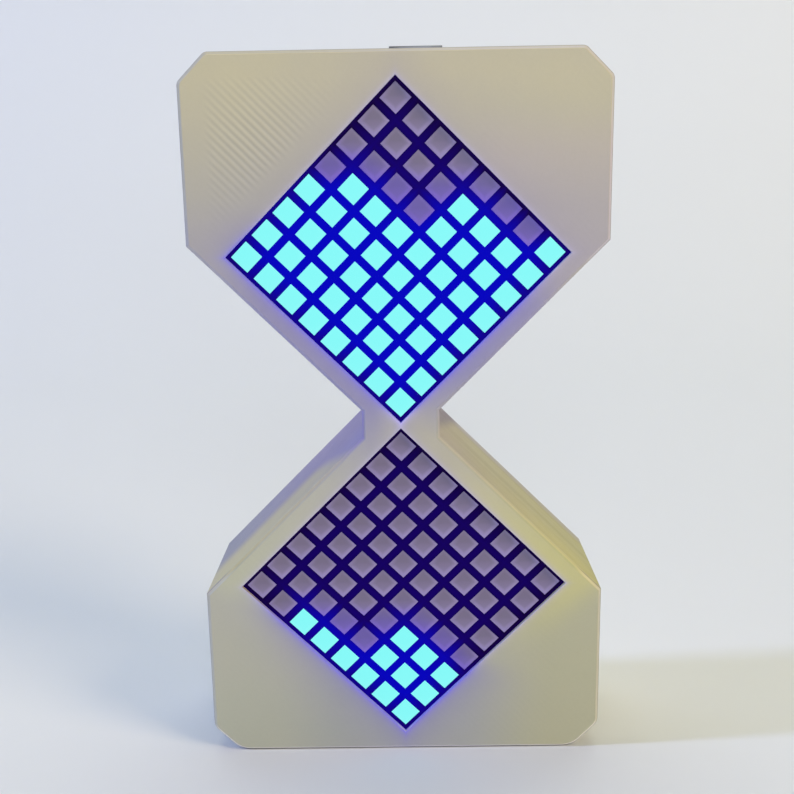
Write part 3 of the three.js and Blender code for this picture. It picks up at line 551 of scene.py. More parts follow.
def painted_slope_light(paint, x, y, z, base):
    """Painted violet light and shade on the left slope of the base and painted warm light and shade
    on the right one.
    """
    # the base's slopes up to the waist, without its upright sides and its back
    low = z.fall(50.7, 51.2) * z.rise(20.5, 24.5) * (CASE_BACK - y).rise(0.02, 0.3)
    depth = y - CASE_FRONT
    left = x.fall(-4.8, -3.6) * depth.rise(0.02, 0.3) * low
    right = x.rise(3.6, 4.8) * depth.rise(0.2, 1.2) * low
    # painted warm light on the lower left slope, and painted shade on its chamfer
    painted_left_light = paint.tint(base, left, (1.12, 1.01, 0.68))
    chamfer = left * depth.fall(0.36, 0.44)
    painted_left_light = paint.tint(painted_left_light, chamfer, (0.88, 0.86, 0.82))
    # the painted violet light and shade covers the rear half, and all of the slope by the waist
    start = 8.9 * MM - z.rise(39, 48) * (12 * MM)
    behind = (depth - start).rise(-3.5, 3.5)
    strength = z.rise(12, 26) * 0.35 + 0.6
    painted_violet_tone = paint.mix(z.rise(22, 46), (0.29, 0.285, 0.35), (0.3, 0.245, 0.44))
    violet = paint.mix(behind * left * strength * 0.95, painted_left_light, painted_violet_tone)
    # painted warm light on the right slope, in streaks
    streaks = paint.noise(300.0, 2.0, 0.6, (0.03, 1.0, 0.03)).smooth(0.3, 0.7)
    warm = paint.mix(streaks, (0.4, 0.385, 0.19), (0.5, 0.485, 0.29))
    warm = paint.mix(z.fall(20, 36) * 0.6, warm, (0.41, 0.41, 0.13))
    warm = paint.mix(z.rise(40, 47) * 0.7, warm, (0.46, 0.42, 0.31))
    amber = paint.mix(right * 0.85, violet, warm)
    # painted shade on the right slope towards the seam
    rear = (y - SEAM).rise(-3, 0.5) * right * 0.8
    amber = paint.mix(rear, amber, (0.43, 0.41, 0.46))
    # painted shade at the top of the right slope, under the upper half
    shade = (z + depth * 0.22).rise(47.6, 49.4) * right * 0.9
    amber = paint.mix(shade, amber, (0.25, 0.22, 0.28))
    # painted shade on the front's rounding, so that its highlight does not show as a line on the
    # slopes
    slope = low * z.rise(24, 27) * abs(x).fall(23.5, 25.5)
    slope = slope * abs(x).rise(3.6, 4.8) * depth.rise(0, 0.03) * depth.fall(0.12, 0.3)
    painted_shade_factors = paint.mix(x.rise(-1, 1), (0.88, 0.87, 0.72), (0.82, 0.88, 0.92))
    return paint.tint(amber, slope, painted_shade_factors)


def painted_edge_light(paint, x, y, z, base):
    """Painted highlight on the pale chamfer round the front and a fine painted shade line outside
    it; also the chamfer's painted shine and a painted contact shadow at the foot.
    """
    sides = abs(x).rise(24, 26)
    outer = sides.most((CASE_TOP - z).fall(2, 3)).most(z.fall(0.8, 1))
    depth = y - CASE_FRONT
    # painted highlight on the chamfer, and painted shade as a fine dark line outside it
    painted_highlight_band = depth.rise(0.04, 0.12) * depth.fall(0.3, 0.38)
    line = depth.rise(0.34, 0.4) * depth.fall(0.55, 0.7)
    right = x.rise(-22, 22)
    pale = paint.mix(right, (0.52, 0.5, 0.42), (0.66, 0.62, 0.62))
    edge = paint.mix(painted_highlight_band * outer * 0.75, base, pale)
    dark = paint.mix(right, (0.26, 0.24, 0.3), (0.3, 0.27, 0.3))
    edge = paint.mix(line * outer * 0.75, edge, dark)
    # painted highlight: the chamfer near the foot glows a little
    shine = depth.rise(0, 0.05) * depth.fall(0.25, 0.29) * z.fall(3.2, 4.4)
    # painted contact shadow along the bottom edge
    painted_contact_shadow = depth.rise(0.27, 0.31) * depth.fall(1, 2) * z.fall(0.3, 0.45)
    edge = paint.mix(painted_contact_shadow * 0.95, edge, (0.02, 0.015, 0.01))
    return edge, shine


def case_plastic(look):
    """Cream plastic laid down in fine lines, with painted light and shade, lit from within by
    painted glow near the lit dots.
    """
    paint = Paint("case_plastic", 0.35)
    x, y, z = paint.axes()
    depth = y - CASE_FRONT
    below = CASE_TOP - z
    face = depth.fall(0.05, 0.3)
    ends = face + (CASE_BACK - y).fall(0.05, 0.3)
    lines = ((x + z) * SLANT).wave(look.line_spacing)
    layers = y.wave(look.line_spacing / 4)
    across = x + 18.5 * MM
    up = z - (CASE_TOP - 11.5 * MM)
    found = from_displays(x, z)
    # a patch at the upper left of the front where the print lines show most
    worn = (across * across + up * up).fade(60 * MM * MM)
    worn = worn * found["upper"][0].rise(2.5, 4.5)
    worn = worn * x.rise(-25, -23.5) * up.fall(7.5, 8.7)
    seen = worn * 2.0 + paint.noise(90.0).smooth(0.45, 0.7) * 0.12
    height = lines * ends * (seen + 0.06) + layers * (1 - ends) * 0.25
    # painted light: the case is lighter towards the top than at the base
    stops = (
        (0.03, look.lower_color),
        (0.42, (0.57, 0.55, 0.45)),
        (0.58, (0.51, 0.485, 0.45)),
        (0.8, look.middle_color),
        (0.97, look.upper_color),
    )
    base = paint.ramp(z / CASE_TOP, stops)
    clouds = paint.noise(55.0, 3.0).smooth(0.35, 0.7) * 0.3
    base = paint.mix(clouds, base, (0.57, 0.53, 0.44))
    base = painted_slope_light(paint, x, y, z, base)
    base, shine = painted_edge_light(paint, x, y, z, base)
    front = depth.fall(2, 12)
    # painted light: paler round the lower display, and warmer on the right
    collar = z.rise(12, 30) * found["lower"][0].fall(1, 6) * front
    pale = paint.mix(x.rise(-8, 8), (1.08, 1.1, 1.0), (1.25, 1.21, 0.8))
    base = paint.tint(base, collar, pale)
    # painted warm light on the right of the front, below the waist
    painted_warm_light = x.rise(8, 22) * z.fall(34, 46) * 0.8
    base = paint.tint(base, painted_warm_light, (1.0, 0.98, 0.78))
    # painted shade: greyer and bluer low in the middle of the front
    grey = abs(x).fall(8, 20) * z.fall(8, 22) * front
    base = paint.tint(base, grey, (0.88, 0.9, 1.02))
    # painted violet light on the right of the upper half
    painted_violet_tint = x.rise(6, 14) * z.rise(56, 66) * below.rise(6, 14)
    base = paint.tint(base, painted_violet_tint, (1.02, 0.98, 1.08))
    # painted violet light of the lit dots on the case, weaker at the sides and by the waist
    rest = 1 - abs(x).rise(17, 26) * 0.55
    waist = abs(z - 49 * MM).rise(1, 8)
    waist = waist.most(x.fall(-4.5, -1)) * 0.5 + 0.5
    glow = None
    for side, strength, reach in (("upper", 0.85, 9.0), ("lower", 0.75, 2.6)):
        away, lit = found[side]
        painted_violet_glow = away.fade(reach * MM) * lit * front * rest * waist * strength
        base = paint.mix(painted_violet_glow, base, (0.3, 0.27, 0.56))
        if side == "upper":
            # painted shade next to the dark dots of the upper display
            near = away.fade(4 * MM) * (1 - lit) * face
            base = paint.tint(base, near, (0.89, 0.88, 1.04))
        # painted highlight on the lip round each display, deep blue beside the lit dots
        beside = lit * abs(z - 48.8 * MM).rise(0.5, 3)
        painted_lip_highlight = paint.mix(beside, (0.6, 0.55, 0.7), (0.18, 0.17, 0.5))
        base = paint.mix(away.fade(0.3 * MM) * face * 0.7, base, painted_lip_highlight)
        # painted glow: the case glows near the lit dots
        part = away.fade(0.42 * MM) * (lit * 0.85 + 0.15) * front
        glow = part if glow is None else glow + part
    grain = (paint.noise(3500.0, 1.0) - 0.5) * 0.04
    shade = (lines - 0.5) * ends * seen * -0.11 + 1 + grain
    base = paint.vector("MULTIPLY", base, shade)
    glow = paint.mix(glow, BLACK, look.glow_color)
    # the case glows with the painted glow of the dots and the foot's painted highlight
    paint.shine(paint.mix(shine, glow, (0.24, 0.22, 0.25)))
    height = height + paint.noise(2600.0) * 0.25
    return paint.finished(base, paint.noise(700.0) * 0.14 + 0.42, height, 0.03, 0.6)


def frame_plastic(look):
    """Black plastic between the dots, blue where light leaks into it."""
    paint = Paint("dot_frame_plastic", 0.02)
    fleck = paint.noise(4200.0)
    stops = ((0.0, (0.004, 0.0, 0.008)), (0.2, (0.006, 0.0, 0.125)), (1.0, look.frame_glow))
    spill = paint.stored("spill") * (fleck * 0.2 + 0.9)
    paint.shine(paint.ramp(spill, stops))
    black = paint.mix(fleck, (0.001, 0.0, 0.002), (0.002, 0.0, 0.005))
    return paint.finished(black, fleck * 0.2 + 0.34, fleck, 0.01)


def dot_resin(look):
    """Milky resin of the dots: violet-grey when dark, cyan when lit, with paler lower rims as a
    painted highlight and painted blue light near lit dots.
    """
    paint = Paint("dot_resin", 0.25)
    lit = paint.stored("lit")
    # painted blue light on dark dots near the lit ones
    near = paint.stored("spill").smooth(0.3, 1.0)
    high = (paint.stored("right") * -1).most(paint.stored("left") * -1)
    # painted highlight on the lower rims
    rim = paint.stored("low").smooth(0.25, 1.45) + high.smooth(0.6, 1.15) * 0.3
    cloud = paint.noise(650.0)
    dark = paint.mix(cloud * 0.5, look.resin_color, (0.25, 0.2, 0.34))
    dark = paint.mix(near * 0.65, dark, (0.14, 0.1, 0.36))
    edge = paint.mix(rim, dark, paint.mix(near, (0.44, 0.36, 0.6), (0.27, 0.18, 0.6)))
    # painted glow: dark dots glow faintly near lit ones and at their rims
    painted_dot_glow = paint.mix(rim * 0.4 + near * 0.6, BLACK, (0.01, 0.0, 0.16))
    cyan = paint.mix(rim * 0.25, look.lit_color, (0.33, 0.94, 0.93))
    paint.shine(paint.mix(lit, painted_dot_glow, cyan))
    resin = paint.mix(lit, edge, (0.01, 0.02, 0.03))
    return paint.finished(resin, cloud * 0.15 + 0.3, paint.noise(1800.0), 0.01, 0.4)


def plated_steel(name, look, grain=(1.0, 1.0, 1.0), share=1.0):
    """Nickel-plated sheet with a fine rolled grain."""
    paint = Paint(name, metallic=1.0)
    streaks = paint.noise(5200.0, 3.0, 0.6, grain)
    clouds = paint.noise(420.0)
    dull = paint.mix(clouds, look.steel_color, (0.44, 0.43, 0.41))
    bright = paint.mix(streaks * 0.3, dull, (0.7, 0.7, 0.69))
    # a share below 1 darkens the steel as painted shade
    bright = paint.vector("MULTIPLY", bright, (share, share, share))
    return paint.finished(bright, streaks * 0.16 + clouds * 0.1 + 0.2, streaks, 0.006)


def dark_plastic(name, color=(0.022, 0.022, 0.024), worn=(0.05, 0.05, 0.052)):
    """Spark-eroded black plastic."""
    paint = Paint(name, 0.4)
    grit = paint.noise(3200.0, 3.0, 0.6)
    cloud = paint.noise(260.0)
    black = paint.mix((cloud + grit * 0.4).smooth(0.6, 0.95), color, worn)
    return paint.finished(black, grit * 0.2 + 0.38, grit, 0.012, 0.6)


# Operators


def round_corners(piece):
    """Softens the ends of the case's four cut corners, most of all next to the base."""
    near = 0.5 * MM
    # the rounding's width and the heights between which it is used, in millimetres
    ends = ((1.2, 0, 0.5), (0.6, 3, 5), (0.35, CASE_TOP / MM - 5, CASE_TOP / MM))
    for width, low, high in ends:

        def corner(edge):
            first, second = [vert.co for vert in edge.verts]
            if abs(first.y - second.y) < 0.3 * MM:
                return False
            return all(
                low * MM - 1e-6 < p.z < high * MM + 1e-6
                and abs(p.x) > 20 * MM
                and (abs(p.x) > CASE_HIGH.x - near or p.z < near or p.z > CASE_TOP - near)
                for p in (first, second)
            )

        round_chosen(piece, width * MM, corner, segments=4)


class TIMER_OT_case_front(bpy.types.Operator):
    """Round the edges of the front shell"""

    bl_idname = "timer.case_front"
    bl_label = "Front shell"

    def execute(self, context):
        look = context.scene.timer_case
        piece = copy_node("front_shell", "case_front")

        def outside(edge):
            places = [vert.co for vert in edge.verts]
            front = all(p.y < CASE_FRONT + 0.5 * MM for p in places)
            seam = all(p.y > SEAM - 0.01 * MM for p in places)
            across = edge.calc_length() > SEAM - CASE_FRONT - 0.8 * MM
            return front or seam or across

        round_corners(piece)
        round_chosen(piece, look.edge_radius, outside)
        finish(piece, "case", case_plastic(look), ["front_shell"])
        modify(piece, "WEIGHTED_NORMAL", keep_sharp=True)
        return {"FINISHED"}


class TIMER_OT_case_back(bpy.types.Operator):
    """Round the holes and edges of the rear cover"""

    bl_idname = "timer.case_back"
    bl_label = "Rear cover"

    def execute(self, context):
        look = context.scene.timer_case
        piece = copy_node("rear_cover", "case_back")
        button, buzzer = middle_of("time_button_cap"), middle_of("buzzer")
        punches = [(BUTTON_HOLE, button.x, button.z, 40)]
        for i in range(4):
            screw = middle_of(f"cover_screw_{i + 1}")
            punches.append((SCREW_HOLE, screw.x, screw.z, 40))
        for i in range(7):
            angle = i * math.pi / 3
            reach = SOUND_RING if i < 6 else 0
            x, z = buzzer.x + reach * math.cos(angle), buzzer.z + reach * math.sin(angle)
            punches.append((SOUND_HOLE, x, z, 24))

        def at_hole(edge):
            middle = (edge.verts[0].co + edge.verts[1].co) / 2
            return any(
                math.hypot(middle.x - x, middle.z - z) < (profile[0][0] + 0.1) * MM
                for profile, x, z, _ in punches
            )

        def outside(edge):
            places = [vert.co for vert in edge.verts]
            rear = all(p.y > CASE_BACK - 1.1 * MM for p in places)
            seam = all(abs(p.y - SEAM - 0.1 * MM) < 0.01 * MM for p in places)
            return (rear or seam) and not at_hole(edge)

        def rim(edge):
            return at_hole(edge) and all(v.co.y > CASE_BACK - 0.6 * MM for v in edge.verts)

        round_corners(piece)
        # points that all but meet would hold the rounding back
        weld(piece, WELD, angle=1)
        round_chosen(piece, look.edge_radius, outside)
        cutters = []
        for profile, x, z, sides in punches:
            cutters.append(turned("punch", profile, sides))
            lay(cutters[-1], facing_back(x, CASE_BACK, z))
        cut(piece, cutters)
        weld(piece, WELD, angle=1)
        round_chosen(piece, look.edge_radius / 2, rim)
        finish(piece, "case", bpy.data.materials["case_plastic"], ["rear_cover"], angle=13)
        modify(piece, "WEIGHTED_NORMAL", keep_sharp=True)
        return {"FINISHED"}


def display_place(side):
    """The place of a display's front face, whose own Z points out of the display."""
    middle = middle_of(side + "_matrix_housing")
    place = Matrix.Translation((middle.x, HOUSING_LOW.y, middle.z))
    return place @ Matrix.Rotation(math.pi / 4, 4, "Y") @ Matrix.Rotation(math.pi / 2, 4, "X")


def lit_places(counts):
    """Middles of a display's lit dots on its two slanting axes."""
    first = 0.5 - DOTS / 2
    return [
        ((row + first) * PITCH, (step + first) * PITCH)
        for row, count in enumerate(counts)
        for step in range(DOTS - count, DOTS)
    ]


def slanting(place, middle):
    """A point's distances down to the right and down to the left of a display's middle."""
    x = place.x - middle.x
    z = place.z - middle.z
    return (x - z) * SLANT, (-x - z) * SLANT


def store(piece, name, values):
    """Stores a number at each point of a piece, for its material."""
    stored = piece.data.attributes.new(name, "FLOAT", "POINT")
    stored.data.foreach_set("value", values)


def store_spill(piece, side, counts, reach, share=1.0):
    """Stores how much of the lit dots' light reaches each point of a display."""
    middle = middle_of(side + "_matrix_housing")
    places = lit_places(counts)
    border = DISPLAY_SIDE / 2 - 0.7 * MM
    spills = []

    def light(away, reach, full):
        """The lit dots' light, where that much of it counts as full."""
        return min(sum(math.exp(-((gap / reach) ** 2)) for gap in away) / full, 1.0)

    for vert in piece.data.vertices:
        right, left = slanting(vert.co, middle)
        away = [max(abs(right - a), abs(left - b), PITCH / 2) - PITCH / 2 for a, b in places]
        near, wide = light(away, reach, 2.5), light(away, 9 * MM, 20)
        crossing = max(abs(c / PITCH - round(c / PITCH)) for c in (right, left)) < 0.05
        spill = (0.14 + 0.16 * wide) * (2 - share if crossing else share) + 0.7 * near
        if share < 1 and max(abs(right), abs(left)) > border:
            spill = max(spill * 0.6 - 0.03, 0.0)
        spills.append(min(spill, 1.0))
    store(piece, "spill", spills)


def store_dots(piece, side, counts):
    """Stores which dot windows are lit, and where each point lies in its own window."""
    middle = middle_of(side + "_matrix_housing")
    found = {"lit": [], "right": [], "left": [], "low": []}
    for vert in piece.data.vertices:
        places = slanting(vert.co, middle)
        right, left = [min(max(math.floor(c / PITCH) + DOTS // 2, 0), DOTS - 1) for c in places]
        found["lit"].append(1.0 if left >= DOTS - counts[right] else 0.0)
        for name, place, step in (("right", places[0], right), ("left", places[1], left)):
            inside = place / PITCH + DOTS / 2 - step - 0.5
            found[name].append(inside * 2 * PITCH / WELL_SIDE)
        found["low"].append(math.hypot(*(max(found[name][-1], 0.0) for name in ("right", "left"))))
    for name, values in found.items():
        store(piece, name, values)


class TIMER_OT_dot_frames(bpy.types.Operator):
    """Build the two frames that hold the dots"""

    bl_idname = "timer.dot_frames"
    bl_label = "Dot frames"

    def execute(self, context):
        look = context.scene.timer_display
        material = frame_plastic(look)

        def well(face):
            return all(abs(edge.calc_length() - WELL_SIDE) < 0.2 * MM for edge in face.edges)

        for side in DISPLAYS:
            piece = grid(side + "_dot_frame", DISPLAY_SIDE, DOTS, DOTS)
            choose(piece)
            inset((PITCH - WELL_SIDE) / 2)
            choose(piece, "FACE", well)
            inset(0.04 * MM, -0.04 * MM)
            bpy.ops.mesh.extrude_faces_move(TRANSFORM_OT_shrink_fatten={"value": -4 * MM})
            choose(piece, "EDGE", lambda edge: edge.is_boundary)
            push(-6 * MM)
            bpy.ops.mesh.edge_face_add()
            turn_out(piece)
            lay(piece, display_place(side))
            store_spill(piece, side, getattr(look, side + "_dots"), 1.1 * MM, share=0.8)
            finish(piece, "case", material, [side + "_matrix_housing"])
        return {"FINISHED"}


class TIMER_OT_dot_windows(bpy.types.Operator):
    """Build the windows of the dots and the resin slab behind them"""

    bl_idname = "timer.dot_windows"
    bl_label = "Dot windows"

    def execute(self, context):
        look = context.scene.timer_display
        material = dot_resin(look)
        for side in DISPLAYS:
            piece = grid(side + "_dot_windows", DISPLAY_SIDE, DOTS, DOTS)
            choose(piece)
            inset((PITCH - look.dot_side) / 2)
            bpy.ops.mesh.select_all(action="INVERT")
            bpy.ops.mesh.delete(type="FACE")
            choose(piece)
            push(-3.6 * MM)
            turn_out(piece)
            choose(piece, "FACE", lambda face: face.normal.z > 0.9)
            # each window bulges a little
            for thickness, rise in ((0.06, 0.03), (0.3, 0.03), (0.4, 0.01)):
                inset(thickness * MM, rise * MM)
            start()
            lay(piece, display_place(side) @ Matrix.Translation((0, 0, -0.1 * MM)))
            counts = getattr(look, side + "_dots")
            store_dots(piece, side, counts)
            piece = join_pieces([piece, self.slab(side)], side + "_dot_windows")
            store_spill(piece, side, counts, 4.2 * MM)
            finish(piece, "case", material, [side + "_cell_filling"])
        return {"FINISHED"}

    def slab(self, side):
        """The slab that joins the windows at the back."""
        low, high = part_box(side + "_cell_filling")
        width = (high.x - low.x) * SLANT / MM
        piece = bar(side + "_slab", (width, width, 0.8))
        round_edges(piece, 0.1 * MM)
        lay(piece, display_place(side) @ Matrix.Translation((0, 0, -4.5 * MM)))
        return piece


class TIMER_OT_charging_socket(bpy.types.Operator):
    """Round the rim of the charging socket and finish its tongue"""

    bl_idname = "timer.charging_socket"
    bl_label = "Charging socket"

    def execute(self, context):
        look = context.scene.timer_inside
        piece = copy_node("charge_socket_shell", "socket_shell")
        round_edges(piece, 0.07 * MM, segments=3, angle=20)
        # the socket's steel is darkened as painted shade
        steel = plated_steel("socket_steel", look, (1.0, 1.0, 0.2), share=0.3)
        finish(piece, "case", steel, ["charge_socket_shell"])
        paint_nodes(self.tongue(), "charge_socket_tongue")
        return {"FINISHED"}

    def tongue(self):
        """Black plastic with gilt contacts along the tongue."""
        paint = Paint("socket_tongue_plastic", 0.4)
        centre = middle_of("charge_socket_tongue")
        x, _, z = paint.axes()
        across = x - centre.x
        stripe = across.wave(0.65 * MM).smooth(0.55, 0.6)
        gilt = stripe * (z - centre.z).rise(-1.2, -1.1) * abs(across).fall(1.6, 1.62)
        paint.set("Metallic", gilt)
        grit = paint.noise(4000.0)
        plastic = paint.mix(grit, (0.018, 0.018, 0.02), (0.035, 0.035, 0.037))
        color = paint.mix(gilt, plastic, (0.78, 0.55, 0.22))
        return paint.finished(color, 0.45 - gilt * 0.2, gilt + grit * 0.1, 0.03, 0.6)


class TIMER_OT_slide_switch(bpy.types.Operator):
    """Build the ribbed knob of the power switch"""

    bl_idname = "timer.slide_switch"
    bl_label = "Slide switch"

    def execute(self, context):
        low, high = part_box("power_switch_slider")
        centre = (low + high) / 2
        knob = self.ribbed_knob(2.0, 1.5, (high.y - low.y) / MM - 1.0)
        lay(knob, facing_back(centre.x, high.y - 0.25 * MM, centre.z))
        carriage = bar("carriage", (4.4, 2.78, 1.6))
        lay(carriage, facing_back(centre.x, low.y + 0.8 * MM, centre.z))
        piece = join_pieces([knob, carriage], "switch_knob")
        round_edges(piece, 0.06 * MM)
        black = dark_plastic("switch_plastic")
        finish(piece, "power_switch", black, ["power_switch_slider"])
        steel = plated_steel("switch_steel", context.scene.timer_inside, (0.2, 1.0, 1.0))
        paint_nodes(steel, "power_switch_frame")
        paint_nodes(dark_plastic("switch_base_plastic"), "power_switch_base")
        return {"FINISHED"}

    def ribbed_knob(self, length, width, depth, steps=7):
        """A block of a size in millimetres whose end is cut into ribs across its way."""
        piece = grid("knob", 1, steps, 1)
        piece.scale = (length * MM, width * MM, 1)
        settle(piece)
        choose(piece)
        push(-depth * MM)
        turn_out(piece)

        def rib(face):
            place = round(face.calc_center_median().x * steps / (length * MM))
            return face.normal.z > 0.9 and place % 2 == 1

        choose(piece, "FACE", rib)
        push(0.25 * MM)
        turn_out(piece)
        return piece


class TIMER_OT_push_button(bpy.types.Operator):
    """Build the dished cap of the time button"""

    bl_idname = "timer.push_button"
    bl_label = "Push button"

    def execute(self, context):
        low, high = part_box("time_button_cap")
        centre = (low + high) / 2
        depth = (high.y - low.y) / MM
        dish = [(0.5, -0.3), (1.2, -0.26), (1.8, -0.14), (2.15, -0.02)]
        rim = [(2.26, 0.0), (2.38, -0.04), (2.46, -0.12), (2.5, -0.24), (2.5, -2.0)]
        collar = [(3.25, -2.0), (3.3, -2.05), (3.3, -2.55), (3.25, -2.6), (1.4, -2.6)]
        stem = [(1.35, 0.04 - depth), (1.3, -depth)]
        piece = turned("button_cap", dish + rim + collar + stem)
        lay(piece, facing_back(centre.x, high.y, centre.z))
        plastic = bpy.data.materials["case_plastic"]
        finish(piece, "time_button", plastic, ["time_button_cap"])
        paint_nodes(dark_plastic("button_plastic"), "time_button_switch")
        red = dark_plastic("plunger_plastic", (0.3, 0.05, 0.04), (0.4, 0.09, 0.07))
        paint_nodes(red, "time_button_plunger")
        return {"FINISHED"}


class TIMER_OT_cover_screws(bpy.types.Operator):
    """Build the four countersunk screws with their cross recesses"""

    bl_idname = "timer.cover_screws"
    bl_label = "Cover screws"

    def execute(self, context):
        head = [(1.7, 0.0), (1.84, -0.02), (1.9, -0.08), (1.9, -0.12), (0.82, -1.2)]
        shank = [(0.8, -1.3), (0.8, -7.2), (0.25, -8.0)]
        model = turned("cover_screw_model", head + shank, sides=48)
        for slot in ((2.3, 0.46, 1.4), (0.46, 2.3, 1.4)):
            cut(model, [bar("slot", slot, taper=0.55)])
        steel = plated_steel("screw_steel", context.scene.timer_inside)
        for i in range(4):
            node = f"cover_screw_{i + 1}"
            middle = middle_of(node)
            take(model)
            bpy.ops.object.duplicate()
            piece = named(node + "_finished")
            turn = Matrix.Rotation(0.4 + 1.1 * i, 4, "Z")
            lay(piece, facing_back(middle.x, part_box(node)[1].y, middle.z) @ turn)
            finish(piece, "case", steel, [node])
        take(model)
        bpy.ops.object.delete()
        return {"FINISHED"}


def lacquered_board(look):
    """Green lacquer over copper tracks."""
    paint = Paint("board_lacquer")
    x, _, z = paint.axes()
    lines = (x + z).wave(1.8 * MM).smooth(0.72, 0.8)
    crossing = (z - x).wave(2.54 * MM).smooth(0.78, 0.84)
    where = paint.noise(160.0, 1.0).smooth(0.48, 0.52)
    tracks = lines * where + crossing * (1 - where)
    green = paint.mix(tracks, look.board_color, (0.05, 0.28, 0.12))
    return paint.finished(green, paint.noise(900.0) * 0.15 + 0.25, tracks, 0.035, 0.7)


def tin(node, direction, half, body, fine=2400.0):
    """Finishes a part whose ends or leads are tinned metal beyond half of its body."""
    paint = Paint(node + "_finish", 0.4)
    away = abs(paint.along(middle_of(node), direction))
    metal = away.rise(half - 0.01, half + 0.01)
    paint.set("Metallic", metal)
    grit = paint.noise(fine)
    matt = paint.mix(grit, body, [min(1.0, part * 1.6) for part in body])
    color = paint.mix(metal, matt, (0.68, 0.67, 0.65))
    paint_nodes(paint.finished(color, grit * 0.2 + 0.42 - metal * 0.15, grit, 0.01), node)


def pale_plastic(name, color):
    """Uncoloured nylon of plugs and sockets."""
    paint = Paint(name, 0.4)
    cloud = paint.noise(500.0)
    nylon = paint.mix(cloud, color, [part * 0.86 for part in color])
    return paint.finished(nylon, cloud * 0.2 + 0.35, paint.noise(2400.0), 0.01)


class TIMER_OT_boards(bpy.types.Operator):
    """Finish the boards and the parts that they carry"""

    bl_idname = "timer.boards"
    bl_label = "Boards and their parts"

    def execute(self, context):
        look = context.scene.timer_inside
        board = lacquered_board(look)
        resin = (0.024, 0.024, 0.026)
        across, falling = (1, 0, 0), (SLANT, 0, -SLANT)
        nylon = pale_plastic("plug_nylon", (0.82, 0.79, 0.7))
        for side in DISPLAYS:
            paint_nodes(board, side + "_lamp_board", side + "_driver_board")
            paint_nodes(nylon, side + "_link_socket", side + "_link_plug")
            tin(side + "_driver_chip", (SLANT, 0, SLANT), 3.76, resin, 2600.0)
            tin(side + "_driver_capacitor", falling, 1.1, (0.42, 0.29, 0.17), 1500.0)
            tin(side + "_driver_resistor", falling, 0.65, resin, 1500.0)
        paint_nodes(board, "control_board", "battery_guard_board")
        tin("charger_chip", across, 1.96, resin)
        tin("controller_chip", across, 2.21, resin)
        tin("charge_lamp", across, 0.5, (0.85, 0.82, 0.6))
        tin("motion_sensor_chip", across, 3.0, resin)
        steel = plated_steel("board_steel", look)
        paint_nodes(steel, "clock_crystal", *[f"board_screw_{i + 1}" for i in range(4)])
        paint_nodes(self.pins(), "display_pin_strip", "display_socket_strip")
        paint_nodes(dark_plastic("buzzer_plastic"), "buzzer")
        return {"FINISHED"}

    def pins(self):
        """Black strip with gilt pins beyond its block."""
        paint = Paint("strip_plastic", 0.4)
        x, y, _ = paint.axes()
        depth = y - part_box("display_pin_strip")[0].y
        beyond = depth.fall(1.25, 1.3) + depth.rise(2.9, 2.95)
        gilt = abs(x - middle_of("display_pin_strip").x).fall(0.3, 0.32) * beyond
        paint.set("Metallic", gilt)
        grit = paint.noise(2600.0)
        black = paint.mix(grit, (0.02, 0.02, 0.022), (0.04, 0.04, 0.042))
        color = paint.mix(gilt, black, (0.8, 0.58, 0.24))
        return paint.finished(color, grit * 0.2 + 0.4 - gilt * 0.15, grit, 0.01)


class TIMER_OT_battery(bpy.types.Operator):
    """Finish the battery, its pad, its leads and the ribbon"""

    bl_idname = "timer.battery"
    bl_label = "Battery and wires"

    def execute(self, context):
        paint_nodes(bpy.data.materials["plug_nylon"], "battery_socket", "battery_plug")
        paint_nodes(self.pouch(), "battery_cell")
        paint_nodes(self.foam(), "battery_pad")
        for name, color in (("red", (0.55, 0.02, 0.015)), ("black", (0.02, 0.02, 0.022))):
            paint_nodes(self.sheath(name + "_sheath", color), "battery_lead_" + name)
        paint_nodes(self.ribbon(), "link_ribbon")
        return {"FINISHED"}

    def pouch(self):
        """Laminated foil with creases, and amber tape over its top."""
        paint = Paint("battery_foil")
        tape = (paint.axes()[2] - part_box("battery_cell")[1].z).rise(-3.0, -2.9)
        paint.set("Metallic", 1 - tape)
        creases = paint.noise(130.0, 4.0, 0.6)
        foil = paint.mix(creases, (0.6, 0.61, 0.62), (0.78, 0.78, 0.79))
        color = paint.mix(tape, foil, (0.62, 0.3, 0.03))
        return paint.finished(color, creases * 0.25 + 0.2, creases + tape * 0.4, 0.15, 0.6)

    def foam(self):
        """White foam tape with open cells."""
        paint = Paint("pad_foam", 0.2)
        cells = paint.node("ShaderNodeTexVoronoi", {}, {"Vector": paint.place(), "Scale": 3200.0})
        white = paint.mix(cells, (0.62, 0.62, 0.6), (0.86, 0.86, 0.83))
        return paint.finished(white, cells * 0.1 + 0.85, cells, 0.1, 0.8)

    def sheath(self, name, color):
        """Soft sheath of a lead."""
        paint = Paint(name, 0.45)
        cloud = paint.noise(700.0)
        soft = paint.mix(cloud, color, [min(1.0, part * 1.5 + 0.01) for part in color])
        return paint.finished(soft, cloud * 0.2 + 0.3, paint.noise(3000.0), 0.01, 0.4)

    def ribbon(self):
        """Grey ribbon whose first core is red."""
        paint = Paint("ribbon_sheath", 0.45)
        first = (paint.axes()[0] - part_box("link_ribbon")[0].x).fall(1.0, 1.05)
        cloud = paint.noise(900.0)
        grey = paint.mix(cloud, (0.26, 0.27, 0.29), (0.36, 0.37, 0.39))
        color = paint.mix(first, grey, (0.5, 0.03, 0.02))
        return paint.finished(color, cloud * 0.2 + 0.35, paint.noise(3000.0), 0.01, 0.4)


